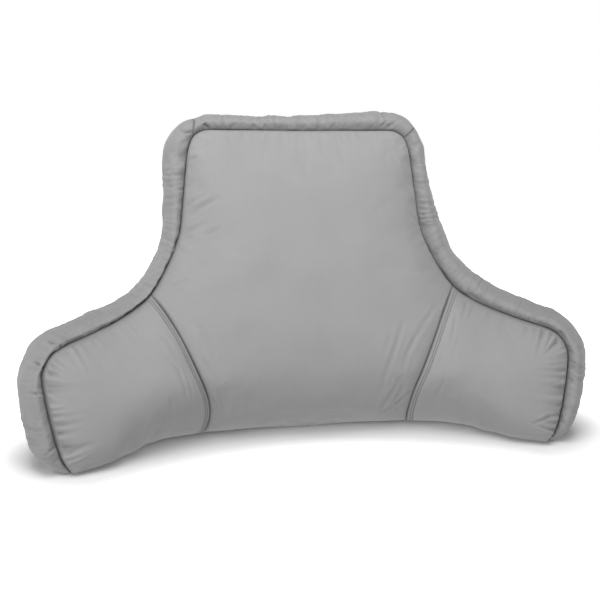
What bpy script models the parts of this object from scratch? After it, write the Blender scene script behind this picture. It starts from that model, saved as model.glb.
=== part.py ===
"""Stuffed orthopedic back-rest cushion: a centre panel, two forward wings, a border strip, a back and a base.

The cushion stands on its flat base, front face towards -Y, and is as wide as X.
Every sewn piece is worked out on one bent middle surface. A point has three numbers there:
across (along the surface, to the right of the middle), height (above the floor) and
depth (ahead of the surface). Metres throughout.
"""
import math

import bmesh
import bpy
from mathutils import Vector
from mathutils.kdtree import KDTree

# Driving sizes, metres
SEAM_GAP = 0.0003            # space between two sewn pieces
BASE_THICKNESS = 0.004       # cloth of the base panel
BACK_THICKNESS = 0.004       # cloth of the back panel
BACK_TURN_IN = 0.002         # how far its inner face stops short of its seams
BORDER_EDGE = 0.0015         # cloth of a border strip at its two seams
FRONT_SEAM_DEPTH = 0.045     # front seam ahead of the middle surface
BACK_SEAM_DEPTH = 0.015      # back seam behind the middle surface
BACK_CROWN = 0.034           # swell of the back panel
TOP_SWELL = 0.036            # swell of the front panel near its top
BELLY_SWELL = 0.056          # how much more the lower back needs
BELLY_HEIGHT = 0.140         # height where the swell is greatest
BELLY_REACH = 0.230          # how far above and below that height it fades
CROWN_REACH = 0.120          # distance from a seam at which a swell is full
CORNER_SHARPNESS = 3.0       # how sharply a swell turns where two seams are equally near
CREASE_DROP = 0.16           # share of the swell that a sewn crease takes away
CREASE_WIDTH = 0.015         # how far a crease draws in the cloth on each side
WING_CROWN_LOSS = 0.30       # share of the swell lost at the outer end of a wing
WING_LOSS_START = 0.26       # across value where that loss starts
WING_LOSS_END = 0.46         # across value where it is complete
BASE_PULL_HEIGHT = 0.125     # height at which the draw of the base seam has run out
FRONT_ROLL = 0.013           # how far the stuffed border rolls ahead of its front seam
BACK_ROLL = 0.007            # how far it rolls behind its back seam
ROLL_END = 0.45              # share of the section over which each roll runs out

# Bend of the middle surface
WING_TURN = math.radians(31.0)
WING_RADIUS = 0.50
FOLD_AT_FLOOR = 0.165        # across value of the middle of the bend, at the floor
FOLD_SLOPE = 0.30            # how much further out it lies per metre of height
LEAN = math.tan(math.radians(7.5))
FRAME_SHIFT_X = -0.0025      # puts the middle of the box on the origin
FRAME_SHIFT_Y = 0.0433

PIECE_FLOOR = BASE_THICKNESS + SEAM_GAP
FOOT_BLEND = 0.05            # height in which the border turns from upright to square on its seam

# Mesh density
CENTRE_CELLS_ACROSS = 20
CREASE_CELLS = 10
SIDE_CELLS = 12
WING_CELLS_ACROSS = 13
BORDER_SECTION_CELLS = 10
BASE_CELLS = 26
SEAM_LINE_CELLS = 16         # steps of each part of the outline when distances are measured
LEAST_DISTANCE = 0.000001
FOOT_CELLS = 4               # cells of the base panel under half of a border foot
MERGE_DISTANCE = 0.00005     # joins the three parts of the back panel along the creases
SLOPE_STEP = 0.05            # share of a row on each side that gives the slope of a curve

# Front seam, from the right foot round to the middle of the top, one row a station
# columns: across, height, swell of the left border run, swell of the right border run
SEAM_ROWS = (
    (0.439, PIECE_FLOOR, 0.0180, 0.0140),
    (0.455, 0.032, 0.0255, 0.0225),
    (0.468, 0.088, 0.0245, 0.0285),
    (0.4755, 0.140, 0.0195, 0.0270),
    (0.471, 0.162, 0.0105, 0.0235),
    (0.460, 0.1765, 0.0125, 0.0235),
    (0.442, 0.185, 0.0165, 0.0250),
    (0.400, 0.195, 0.0190, 0.0290),
    (0.350, 0.210, 0.0155, 0.0325),
    (0.312, 0.225, 0.0135, 0.0375),
    (0.279, 0.246, 0.0125, 0.0400),
    (0.250, 0.280, 0.0130, 0.0400),
    (0.2285, 0.315, 0.0170, 0.0420),
    (0.214, 0.350, 0.0255, 0.0435),
    (0.2045, 0.405, 0.0325, 0.0385),
    (0.196, 0.460, 0.0400, 0.0360),
    (0.191, 0.482, 0.0370, 0.0370),
    (0.1825, 0.4990, 0.0335, 0.0355),
    (0.169, 0.5090, 0.0280, 0.0345),
    (0.150, 0.5120, 0.0260, 0.0330),
    (0.080, 0.5115, 0.0250, 0.0305),
    (0.000, 0.5100, 0.0275, 0.0275),
)
WING_CORNER_ROW = 5
CREASE_TOP_ROW = 10
TOP_CORNER_ROW = 17

# Sewn crease between the centre and a wing: columns across, height
CREASE_ROWS = (
    (0.190, PIECE_FLOOR),
    (0.193, 0.035),
    (0.204, 0.080),
    (0.224, 0.125),
    (0.246, 0.175),
    (0.265, 0.218),
    (0.279, 0.246),
)

# How far the front edge of the base is drawn back under the swell: columns across, drawn back
BASE_ROWS = (
    (0.00, 0.020),
    (0.13, 0.024),
    (0.20, 0.034),
    (0.26, 0.040),
    (0.30, 0.036),
    (0.34, 0.018),
    (0.39, 0.000),
    (0.50, 0.000),
)

# How far the border's section turns towards the top at the left top corner, where the strip is
# joined askew: columns row of the seam table, degrees
CORNER_SWING_ROWS = (
    (15.2, 0.0),
    (17.0, 58.0),
    (19.6, 0.0),
)

VELOUR_COLOURS = {
    "front": (0.302, 0.302, 0.301, 1.0),
    "border": (0.281, 0.281, 0.280, 1.0),
    "plain": (0.278, 0.278, 0.277, 1.0),
}
VELOUR_ROUGHNESS = 0.92
VELOUR_SHEEN = 0.35


def ease(value):
    """Smooth step from 0 to 1."""
    t = min(max(value, 0.0), 1.0)
    return t * t * (3.0 - 2.0 * t)


def curve_point(rows, place_on_curve):
    """Point of a smooth curve through the rows; the whole part of the number picks the row."""
    last = len(rows) - 1
    start = min(int(place_on_curve), last - 1)
    t = place_on_curve - start
    before = rows[max(start - 1, 0)]
    first, second = rows[start], rows[start + 1]
    after = rows[min(start + 2, last)]
    values = []
    for a, b, c, d in zip(before, first, second, after):
        bend = (2 * a - 5 * b + 4 * c - d) * t * t
        twist = (3 * b - a - 3 * c + d) * t * t * t
        values.append(0.5 * (2 * b + (c - a) * t + bend + twist))
    return values


def stretch(rows, first_row, last_row, cells, fine=12):
    """Stations spaced evenly by length on part of a curve, as places on the curve."""
    steps = (last_row - first_row) * fine
    marks = [first_row + i / fine for i in range(steps + 1)]
    points = [curve_point(rows, m) for m in marks]
    lengths = [0.0]
    for a, b in zip(points, points[1:]):
        lengths.append(lengths[-1] + math.hypot(b[0] - a[0], b[1] - a[1]))
    places = []
    for i in range(cells + 1):
        wanted = lengths[-1] * i / cells
        k = max(j for j in range(steps) if lengths[j] <= wanted + 1e-9)
        part = (wanted - lengths[k]) / (lengths[k + 1] - lengths[k])
        places.append(marks[k] + part / fine)
    return places


def outward(rows, place_on_curve):
    """Direction square to a curve, away from the cushion, as (across, height)."""
    last = len(rows) - 1
    a = curve_point(rows, max(place_on_curve - SLOPE_STEP, 0.0))
    b = curve_point(rows, min(place_on_curve + SLOPE_STEP, last))
    along, up = b[0] - a[0], b[1] - a[1]
    size = math.hypot(along, up)
    return up / size, -along / size


def table_value(rows, number):
    """Value of a two-column table at a number, eased from row to row."""
    if number <= rows[0][0]:
        return rows[0][1]
    for (low, a), (high, b) in zip(rows, rows[1:]):
        if number <= high:
            return a + (b - a) * ease((number - low) / (high - low))
    return rows[-1][1]


def line_distance(point, line):
    """Shortest distance from a point to a line of points."""
    best = 1.0
    x, y = point
    for (ax, ay), (bx, by) in zip(line, line[1:]):
        dx, dy = bx - ax, by - ay
        t = ((x - ax) * dx + (y - ay) * dy) / (dx * dx + dy * dy)
        t = min(max(t, 0.0), 1.0)
        best = min(best, math.hypot(x - ax - t * dx, y - ay - t * dy))
    return best


LAST_SEAM_ROW = len(SEAM_ROWS) - 1
LAST_CREASE_ROW = len(CREASE_ROWS) - 1
SEAM_ENDS = (0, WING_CORNER_ROW, CREASE_TOP_ROW, TOP_CORNER_ROW, LAST_SEAM_ROW)
SEAM_LINES = [
    [tuple(curve_point(SEAM_ROWS, p)[:2]) for p in stretch(SEAM_ROWS, first, last, SEAM_LINE_CELLS)]
    for first, last in zip(SEAM_ENDS, SEAM_ENDS[1:])
]
CREASE_LINE = [tuple(curve_point(CREASE_ROWS, p)) for p in stretch(CREASE_ROWS, 0, LAST_CREASE_ROW, 12)]


def roundness(distance, reach=CROWN_REACH):
    """Rounded rise from a seam: 0 on the seam, 1 from the reach on."""
    t = min(max(distance / reach, 0.0), 1.0)
    return math.sqrt(1.0 - (1.0 - t) ** 2)


def edge_distance(across, height):
    """Distance to the outline and base seams, rounded off where two of them are equally near."""
    distances = [line_distance((abs(across), height), line) for line in SEAM_LINES]
    distances.append(height - PIECE_FLOOR)
    total = sum(max(distance, LEAST_DISTANCE) ** -CORNER_SHARPNESS for distance in distances)
    return total ** (-1.0 / CORNER_SHARPNESS)


def front_depth(across, height):
    """Depth of the front cloth: seam depth plus swell, drawn in along the creases."""
    swell = TOP_SWELL + BELLY_SWELL * math.exp(-((height - BELLY_HEIGHT) / BELLY_REACH) ** 2)
    wing_share = (abs(across) - WING_LOSS_START) / (WING_LOSS_END - WING_LOSS_START)
    swell *= 1.0 - WING_CROWN_LOSS * ease(wing_share)
    swell *= roundness(edge_distance(across, height))
    crease = line_distance((abs(across), height), CREASE_LINE)
    drawn = table_value(BASE_ROWS, abs(across)) * (1.0 - ease((height - PIECE_FLOOR) / BASE_PULL_HEIGHT))
    return FRONT_SEAM_DEPTH - drawn + swell * (1.0 - CREASE_DROP * math.exp(-crease / CREASE_WIDTH))


def back_depth(across, height):
    """Depth of the back of the filling, behind the middle surface."""
    return -BACK_SEAM_DEPTH - BACK_CROWN * roundness(edge_distance(across, height))


def place(across, height, depth):
    """World position of a point given on the bent middle surface."""
    side = -1.0 if across < 0.0 else 1.0
    reach = abs(across)
    arc = WING_RADIUS * WING_TURN
    start = FOLD_AT_FLOOR + FOLD_SLOPE * height - arc / 2.0
    if reach <= start:
        turn, x, y = 0.0, reach, 0.0
    elif reach < start + arc:
        turn = (reach - start) / WING_RADIUS
        x = start + WING_RADIUS * math.sin(turn)
        y = -WING_RADIUS * (1.0 - math.cos(turn))
    else:
        turn = WING_TURN
        rest = reach - start - arc
        x = start + WING_RADIUS * math.sin(turn) + rest * math.cos(turn)
        y = -WING_RADIUS * (1.0 - math.cos(turn)) - rest * math.sin(turn)
    x -= depth * math.sin(turn)
    y -= depth * math.cos(turn)
    return Vector((side * x + FRAME_SHIFT_X, y + LEAN * height + FRAME_SHIFT_Y, height))


def inset_point(rows, place_on_curve, distance, level=False):
    """Point of a curve moved into the cushion, square to the curve or level."""
    point = curve_point(rows, place_on_curve)
    out = outward(rows, place_on_curve)
    if level:
        return point[0] - distance, point[1]
    return point[0] - out[0] * distance, point[1] - out[1] * distance


def blend_patch(bottom, top, left, right):
    """Grid of (across, height) points filled in between four edges of points."""
    wide, tall = len(bottom) - 1, len(left) - 1
    grid = []
    for j in range(tall + 1):
        w = j / tall
        row = []
        for i in range(wide + 1):
            u = i / wide
            values = []
            for k in (0, 1):
                level = (1 - w) * bottom[i][k] + w * top[i][k]
                level += (1 - u) * left[j][k] + u * right[j][k]
                level -= (1 - u) * ((1 - w) * bottom[0][k] + w * top[0][k])
                level -= u * ((1 - w) * bottom[-1][k] + w * top[-1][k])
                values.append(level)
            row.append(tuple(values))
        grid.append(row)
    return grid


def crease_edge(gap, floor):
    """Crease line from the base up; a positive gap moves it towards the centre."""
    places = stretch(CREASE_ROWS, 0, LAST_CREASE_ROW, CREASE_CELLS)
    edge = [inset_point(CREASE_ROWS, p, gap, level=(i == 0)) for i, p in enumerate(places)]
    edge[0] = (edge[0][0], edge[0][1] + floor)
    return edge


def mirror_edge(points):
    """The same edge on the left side."""
    return [(-a, h) for a, h in points]


def mirror_grid(grid):
    """The same grid on the left side."""
    return [mirror_edge(row) for row in grid]


def level_edge(start, end, cells):
    """Evenly spaced points of a straight edge."""
    return [tuple(a + (b - a) * i / cells for a, b in zip(start, end)) for i in range(cells + 1)]


def centre_grid(seam_inset, crease_inset, floor):
    """Grid of the centre panel, between the two creases, the side seams and the top seam."""
    side_places = stretch(SEAM_ROWS, CREASE_TOP_ROW, TOP_CORNER_ROW, SIDE_CELLS)
    side = [inset_point(SEAM_ROWS, p, seam_inset) for p in side_places]
    side[0] = (side[0][0] - crease_inset, side[0][1])
    right = crease_edge(crease_inset, floor)[:-1] + side
    half = CENTRE_CELLS_ACROSS // 2
    top_places = stretch(SEAM_ROWS, TOP_CORNER_ROW, LAST_SEAM_ROW, half)
    top_right = [inset_point(SEAM_ROWS, p, seam_inset) for p in top_places]
    top_right[-1] = (0.0, top_right[-1][1])
    top = mirror_edge(top_right) + top_right[-2::-1]
    left = mirror_edge(right)
    bottom = level_edge(left[0], right[0], CENTRE_CELLS_ACROSS)
    return blend_patch(bottom, top, left, right)


def wing_grid(seam_inset, crease_inset, floor):
    """Grid of the right wing panel, between the crease, the wing seam and the base."""
    inner = crease_edge(-crease_inset, floor)
    end_places = stretch(SEAM_ROWS, 0, WING_CORNER_ROW, CREASE_CELLS)
    outer = [inset_point(SEAM_ROWS, p, seam_inset, level=(i == 0)) for i, p in enumerate(end_places)]
    outer[0] = (outer[0][0], outer[0][1] + floor)
    top_places = stretch(SEAM_ROWS, WING_CORNER_ROW, CREASE_TOP_ROW, WING_CELLS_ACROSS)
    top = [inset_point(SEAM_ROWS, p, seam_inset) for p in top_places][::-1]
    inner[-1] = (top[0][0] + crease_inset, top[0][1])
    top[0] = inner[-1]
    bottom = level_edge(inner[0], outer[0], WING_CELLS_ACROSS)
    return blend_patch(bottom, top, inner, outer)


def velour(name, kind):
    """Matt cloth material of one piece."""
    material = bpy.data.materials.new(name + "_velour")
    material.use_nodes = True
    shader = material.node_tree.nodes["Principled BSDF"]
    shader.inputs["Base Color"].default_value = VELOUR_COLOURS[kind]
    shader.inputs["Roughness"].default_value = VELOUR_ROUGHNESS
    shader.inputs["Metallic"].default_value = 0.0
    shader.inputs["Sheen Weight"].default_value = VELOUR_SHEEN
    return material


def finish_piece(name, mesh_data, kind, collection):
    """Turn a mesh into a named, smooth, coloured piece."""
    mesh = bpy.data.meshes.new(name)
    bmesh.ops.recalc_face_normals(mesh_data, faces=mesh_data.faces)
    mesh_data.to_mesh(mesh)
    mesh_data.free()
    for polygon in mesh.polygons:
        polygon.use_smooth = True
    mesh.materials.append(velour(name, kind))
    piece = bpy.data.objects.new(name, mesh)
    collection.objects.link(piece)
    return piece


def flat_grid(cells_across, cells_up, position):
    """Flat grid mesh with each corner moved to the two numbers of position(column, row)."""
    data = bmesh.new()
    bmesh.ops.create_grid(data, x_segments=cells_across, y_segments=cells_up, size=1.0)
    for vertex in data.verts:
        column = round((vertex.co.x + 1.0) / 2.0 * cells_across)
        row = round((vertex.co.y + 1.0) / 2.0 * cells_up)
        vertex.co = (*position(column, row), 0.0)
    return data


def close_between(data, near, far):
    """Turn a flat sheet into a closed solid between two placings of its points."""
    flat = {vertex: (vertex.co.x, vertex.co.y) for vertex in data.verts}
    copy = bmesh.ops.duplicate(data, geom=list(data.verts) + list(data.edges) + list(data.faces))
    for old, new in copy["vert_map"].items():
        if old in flat:
            new.co = far(*flat[old])
    for vertex, numbers in flat.items():
        vertex.co = near(*numbers)
    rims = [edge for edge in data.edges if len(edge.link_faces) == 1]
    bmesh.ops.bridge_loops(data, edges=rims)
    bmesh.ops.triangulate(data, faces=data.faces, quad_method="SHORT_EDGE")
    return data


def thick_grid(cells_across, cells_up, near, far):
    """Closed solid between a near face and a far face, both given by position(column, row)."""
    data = flat_grid(cells_across, cells_up, lambda column, row: (column, row))
    return close_between(
        data,
        lambda x, y: near(round(x), round(y)),
        lambda x, y: far(round(x), round(y)),
    )


def filled_panel(name, front, back, sewn, collection):
    """Filled section: swelled front, swelled back and walls just inside its seams."""
    def near(column, row):
        across, height = front[row][column]
        return place(across, height, front_depth(*sewn[row][column]))

    def far(column, row):
        across, height = back[row][column]
        return place(across, height, back_depth(*sewn[row][column]))

    data = thick_grid(len(sewn[0]) - 1, len(sewn) - 1, near, far)
    return finish_piece(name, data, "front", collection)


def border_section(turn):
    """Depth and share of the swell round the border, turn 0 at the front seam and 1 at the back."""
    middle, half = 0.5 * (FRONT_SEAM_DEPTH - BACK_SEAM_DEPTH), 0.5 * (FRONT_SEAM_DEPTH + BACK_SEAM_DEPTH)
    return middle + half * math.cos(math.pi * turn), math.sin(math.pi * turn)


def border_roll(turn, height):
    """How far the stuffed border rolls ahead of its section, less and less towards its foot."""
    front = math.sin(math.pi * min(turn / ROLL_END, 1.0))
    back = math.sin(math.pi * min((1.0 - turn) / ROLL_END, 1.0))
    return ease((height - PIECE_FLOOR) / FOOT_BLEND) * (FRONT_ROLL * front - BACK_ROLL * back)


def border_run(name, stations, collection):
    """Stuffed border strip along stations of (across, height, out across, out height, swell)."""
    def near(column, row):
        across, height, out_a, out_h, swell = stations[column]
        turn = row / BORDER_SECTION_CELLS
        depth, share = border_section(turn)
        bulge = BORDER_EDGE + (swell - BORDER_EDGE) * share
        return place(across + out_a * bulge, height + out_h * bulge, depth + border_roll(turn, height))

    def far(column, row):
        across, height = stations[column][:2]
        return place(across, height, border_section(row / BORDER_SECTION_CELLS)[0])

    data = thick_grid(len(stations) - 1, BORDER_SECTION_CELLS, near, far)
    return finish_piece(name, data, "border", collection)


def border_station(place_on_curve, side, middle=False):
    """One border station on the right or left side."""
    across, height, swell_left, swell_right = curve_point(SEAM_ROWS, place_on_curve)
    out_a, out_h = outward(SEAM_ROWS, place_on_curve)
    level = 1.0 - ease((height - PIECE_FLOOR) / FOOT_BLEND)
    if across > SEAM_ROWS[WING_CORNER_ROW][0] - FOOT_BLEND:
        out_a, out_h = out_a + (1.0 - out_a) * level, out_h * (1.0 - level)
    size = math.hypot(out_a, out_h)
    out_a, out_h = out_a / size, out_h / size
    if side < 0:
        swing = math.radians(table_value(CORNER_SWING_ROWS, place_on_curve))
        turned_a = out_a * math.cos(swing) - out_h * math.sin(swing)
        out_a, out_h = turned_a, out_a * math.sin(swing) + out_h * math.cos(swing)
    if middle:
        out_a, out_h = 0.0, 1.0
    swell = swell_left if side < 0 else swell_right
    return side * across, height, side * out_a, out_h, swell


def side_stations(side):
    """Stations of a side run, from the foot to just short of the top corner."""
    places = stretch(SEAM_ROWS, 0, WING_CORNER_ROW, CREASE_CELLS)
    places += stretch(SEAM_ROWS, WING_CORNER_ROW, CREASE_TOP_ROW, WING_CELLS_ACROSS)[1:]
    places += stretch(SEAM_ROWS, CREASE_TOP_ROW, TOP_CORNER_ROW, SIDE_CELLS)[1:]
    stations = [border_station(p, side) for p in places]
    return cut_back(stations, 0.5 * SEAM_GAP)


def top_stations():
    """Stations of the top run, from the left corner to the right corner."""
    places = stretch(SEAM_ROWS, TOP_CORNER_ROW, LAST_SEAM_ROW, CENTRE_CELLS_ACROSS // 2)
    left = [border_station(p, -1) for p in places[:-1]]
    right = [border_station(p, 1) for p in places[:-1]]
    middle = border_station(places[-1], 1, middle=True)
    run = left + [middle] + right[::-1]
    run = cut_back(run[::-1], 0.5 * SEAM_GAP)[::-1]
    return cut_back(run, 0.5 * SEAM_GAP)


def cut_back(stations, distance):
    """The same run with its last station drawn back along the seam."""
    a, b = stations[-2], stations[-1]
    length = math.hypot(b[0] - a[0], b[1] - a[1])
    back = [q + (p - q) * distance / length for p, q in zip(a, b)]
    return stations[:-1] + [(back[0], back[1], b[2], b[3], b[4])]


def back_sheet(collection):
    """Back panel: one cloth over the three filled sections, edge turned in along its seams."""
    wing, wing_inside = wing_grid(0.0, 0.0, 0.0), wing_grid(BACK_TURN_IN, 0.0, BACK_TURN_IN)
    centre, centre_inside = centre_grid(0.0, 0.0, 0.0), centre_grid(BACK_TURN_IN, 0.0, BACK_TURN_IN)
    pairs = (
        (centre, centre_inside),
        (wing, wing_inside),
        (mirror_grid(wing), mirror_grid(wing_inside)),
    )
    data = bmesh.new()
    outside, inside = [], []
    for grid, inner in pairs:
        part = flat_grid(len(grid[0]) - 1, len(grid) - 1, lambda column, row, g=grid: g[row][column])
        mesh = bpy.data.meshes.new("back_part")
        part.to_mesh(mesh)
        part.free()
        data.from_mesh(mesh)
        bpy.data.meshes.remove(mesh)
        for row, inner_row in zip(grid, inner):
            outside += row
            inside += inner_row
    bmesh.ops.remove_doubles(data, verts=data.verts, dist=MERGE_DISTANCE)
    finder = KDTree(len(outside))
    for number, point in enumerate(outside):
        finder.insert((*point, 0.0), number)
    finder.balance()

    def near(across, height):
        number = finder.find((across, height, 0.0))[1]
        return place(*inside[number], back_depth(across, height) - SEAM_GAP)

    def far(across, height):
        return place(across, height, back_depth(across, height) - SEAM_GAP - BACK_THICKNESS)

    return finish_piece("back_panel", close_between(data, near, far), "plain", collection)


def base_sheet(collection):
    """Base panel: flat cloth under the filling and the feet of the border."""
    foot, _, swell_left, swell_right = SEAM_ROWS[0]
    rear = -BACK_SEAM_DEPTH - SEAM_GAP - BACK_THICKNESS
    middle = border_section(0.5)[0]
    stations = [(foot * (2.0 * i / BASE_CELLS - 1.0), 1.0) for i in range(BASE_CELLS + 1)]
    for i in range(FOOT_CELLS):
        depth, share = border_section(0.5 * (i + 0.95) / FOOT_CELLS)
        part = (depth - middle) / (FRONT_SEAM_DEPTH - middle)
        stations.append((foot + swell_right * share, part))
        stations.insert(0, (-foot - swell_left * share, part))

    def top(column, row):
        across, part = stations[column]
        edge = FRONT_SEAM_DEPTH - table_value(BASE_ROWS, abs(across)) if row else rear
        return place(across, BASE_THICKNESS, middle + (edge - middle) * part)

    def bottom(column, row):
        point = top(column, row)
        point.z = 0.0
        return point

    data = thick_grid(len(stations) - 1, 1, top, bottom)
    return finish_piece("base_panel", data, "plain", collection)


def clear_scene():
    """Remove every object of the opening scene."""
    for old in list(bpy.data.objects):
        bpy.data.objects.remove(old, do_unlink=True)


def main():
    """Build all pieces of the cushion."""
    clear_scene()
    cushion = bpy.data.collections.new("orthopedic_cushion")
    bpy.context.scene.collection.children.link(cushion)
    inset = BACK_TURN_IN + SEAM_GAP
    front_gaps = (SEAM_GAP, 0.5 * SEAM_GAP, 0.0)
    back_gaps = (inset, 0.5 * SEAM_GAP, inset)
    sewn_gaps = (0.0, 0.0, 0.0)
    centre = [centre_grid(*gaps) for gaps in (front_gaps, back_gaps, sewn_gaps)]
    wing = [wing_grid(*gaps) for gaps in (front_gaps, back_gaps, sewn_gaps)]
    filled_panel("back_rest", *centre, cushion)
    filled_panel("wing_right", *wing, cushion)
    filled_panel("wing_left", *[mirror_grid(grid) for grid in wing], cushion)
    border_run("band_right", side_stations(1), cushion)
    border_run("band_left", side_stations(-1), cushion)
    border_run("band_top", top_stations(), cushion)
    back_sheet(cushion)
    base_sheet(cushion)


main()
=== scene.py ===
"""Dressed model of a stuffed orthopedic back-rest cushion in plain grey velour.

The cushion stands on its flat base with its front towards -Y. Every sewn piece is worked out on one
bent middle surface. A point has three numbers there: across (along the surface, to the right of the
middle), height (above the floor) and depth (ahead of the surface). Metres throughout.
"""

import logging
import math
from dataclasses import dataclass, field
from enum import Enum
from typing import Sequence, Union

import bmesh
import bpy
import numpy as np
from mathutils import Matrix, Vector, noise
from mathutils.geometry import delaunay_2d_cdt


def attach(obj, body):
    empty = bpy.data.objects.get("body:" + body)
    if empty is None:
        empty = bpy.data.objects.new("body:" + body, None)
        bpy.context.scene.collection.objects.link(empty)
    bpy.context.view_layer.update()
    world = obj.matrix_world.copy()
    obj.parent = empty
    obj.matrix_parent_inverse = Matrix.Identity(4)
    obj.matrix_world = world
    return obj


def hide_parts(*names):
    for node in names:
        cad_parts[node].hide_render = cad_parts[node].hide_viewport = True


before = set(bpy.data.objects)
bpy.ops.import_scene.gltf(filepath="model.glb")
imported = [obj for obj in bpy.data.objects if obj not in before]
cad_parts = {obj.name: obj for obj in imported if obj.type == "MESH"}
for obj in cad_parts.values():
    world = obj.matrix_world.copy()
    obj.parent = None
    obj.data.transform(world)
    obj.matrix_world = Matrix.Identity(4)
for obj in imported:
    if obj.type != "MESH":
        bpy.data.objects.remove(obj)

LOG = logging.getLogger("cushion")
Points = np.ndarray
BODY = "root"

# Sizes shared by the pieces
BASE_THICKNESS = 0.004
BACK_THICKNESS = 0.004
SEAM_GAP = 0.0003
PIECE_FLOOR = BASE_THICKNESS + SEAM_GAP
MERGE_DISTANCE = 0.00005
LEAST_DISTANCE = 0.000001
TINY = 1e-12
FAR_AWAY = 1e9

# Rows of a table between two points of a coarse line
SEAM_STEP = 0.2
CREASE_STEP = 0.25

# Front seam, from the right foot round to the middle of the top, one row a station
# columns: across, height, swell of the left border run, swell of the right border run
SEAM_ROWS = (
    (0.439, PIECE_FLOOR, 0.0180, 0.0140),
    (0.455, 0.032, 0.0255, 0.0225),
    (0.468, 0.088, 0.0245, 0.0285),
    (0.4755, 0.140, 0.0195, 0.0270),
    (0.471, 0.162, 0.0105, 0.0235),
    (0.460, 0.1765, 0.0125, 0.0235),
    (0.442, 0.185, 0.0165, 0.0250),
    (0.400, 0.195, 0.0190, 0.0290),
    (0.350, 0.210, 0.0155, 0.0325),
    (0.312, 0.225, 0.0135, 0.0375),
    (0.279, 0.246, 0.0125, 0.0400),
    (0.250, 0.280, 0.0130, 0.0400),
    (0.2285, 0.315, 0.0170, 0.0420),
    (0.214, 0.350, 0.0255, 0.0435),
    (0.2045, 0.405, 0.0325, 0.0385),
    (0.196, 0.460, 0.0400, 0.0360),
    (0.191, 0.482, 0.0370, 0.0370),
    (0.1825, 0.4990, 0.0335, 0.0355),
    (0.169, 0.5090, 0.0280, 0.0345),
    (0.150, 0.5120, 0.0260, 0.0330),
    (0.080, 0.5115, 0.0250, 0.0305),
    (0.000, 0.5100, 0.0275, 0.0275),
)
SEAM_ENDS = (0, 5, 10, 17, 21)
FOOT_ROW, WING_CORNER_ROW, CREASE_TOP_ROW, TOP_CORNER_ROW, MIDDLE_ROW = SEAM_ENDS

# Sewn crease between the centre and a wing: columns across, height
CREASE_ROWS = (
    (0.190, PIECE_FLOOR),
    (0.193, 0.035),
    (0.204, 0.080),
    (0.224, 0.125),
    (0.246, 0.175),
    (0.265, 0.218),
    (0.279, 0.246),
)

# How far the border's section turns towards the top at the left top corner, where the strip is
# joined askew: columns row of the seam table, degrees
CORNER_SWING_ROWS = ((15.2, 0.0), (17.0, 58.0), (19.6, 0.0))

# How far the front edge of the base is drawn back under the swell: columns across, drawn back
BASE_ROWS = (
    (0.00, 0.020), (0.13, 0.024), (0.20, 0.034), (0.26, 0.040),
    (0.30, 0.036), (0.34, 0.018), (0.39, 0.000), (0.50, 0.000),
)


class Side(Enum):
    """Left or right half of the cushion, seen from the front."""

    LEFT = -1
    RIGHT = 1


def ease(value: Points) -> Points:
    """Smooth step from 0 to 1."""
    t = np.clip(value, 0.0, 1.0)
    return t * t * (3.0 - 2.0 * t)


def bell(distance: Points, width: float) -> Points:
    """Bell curve, 1 at distance 0."""
    return np.exp(-(distance / width) ** 2)


def eased_table(rows: Sequence[tuple[float, float]], numbers: Points) -> Points:
    """Value of a two-column table, eased from row to row.

    Args:
        rows: the table, first column rising.
        numbers: where to read it.

    Returns:
        One value for each number.
    """
    values = np.full(np.shape(numbers), rows[0][1])
    for (low, a), (high, b) in zip(rows, rows[1:]):
        part = a + (b - a) * ease((numbers - low) / (high - low))
        values = np.where(numbers > low, part, values)
    return values


def smooth_line(rows: Sequence[Sequence[float]], first: float, last: float,
                step: float = 0.02) -> Points:
    """Points of a smooth curve through table rows.

    Args:
        rows: the table.
        first: row at which the line starts.
        last: row at which it ends.
        step: share of the way from row to row between two points.

    Returns:
        One row of numbers for each point, with the table's columns.
    """
    table = np.array(rows, float)
    places = np.linspace(first, last, int(round((last - first) / step)) + 1)
    start = np.minimum(places.astype(int), len(table) - 2)
    t = (places - start)[:, None]
    a, b = table[np.maximum(start - 1, 0)], table[start]
    c, d = table[start + 1], table[np.minimum(start + 2, len(table) - 1)]
    bend = (2 * a - 5 * b + 4 * c - d) * t * t
    return 0.5 * (2 * b + (c - a) * t + bend + (3 * b - a - 3 * c + d) * t ** 3)


def run_length(line: Points) -> Points:
    """Length along a line of points up to each of them, by its first two columns."""
    steps = np.linalg.norm(np.diff(line[:, :2], axis=0), axis=1)
    return np.concatenate([[0.0], np.cumsum(steps)])


def along(line: Points, shares: Points) -> Points:
    """Rows of a line at given shares of its length."""
    length = run_length(line)
    wanted = shares * length[-1]
    return np.stack([np.interp(wanted, length, column) for column in line.T], axis=1)


def outward(line: Points) -> Points:
    """Unit vectors square to a line of (across, height) that runs up the right side."""
    slope = np.gradient(line[:, :2], axis=0)
    slope /= np.linalg.norm(slope, axis=1, keepdims=True)
    return np.stack([slope[:, 1], -slope[:, 0]], axis=1)


def swung(out: Points, first: int, last: int) -> Points:
    """Outward vectors between two seam rows, turned as the left top corner turns them."""
    places = np.linspace(first, last, len(out))
    swing = np.radians(eased_table(CORNER_SWING_ROWS, places))
    across = out[:, 0] * np.cos(swing) - out[:, 1] * np.sin(swing)
    return np.stack([across, out[:, 0] * np.sin(swing) + out[:, 1] * np.cos(swing)], axis=1)


def moved(line: Points, distance: float) -> Points:
    """A line drawn towards the cushion's middle, square to itself but level at its foot."""
    shift = outward(line) * distance
    if line[0, 1] < PIECE_FLOOR + MERGE_DISTANCE:
        shift[0] = (distance, 0.0)
    return line[:, :2] - shift


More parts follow.
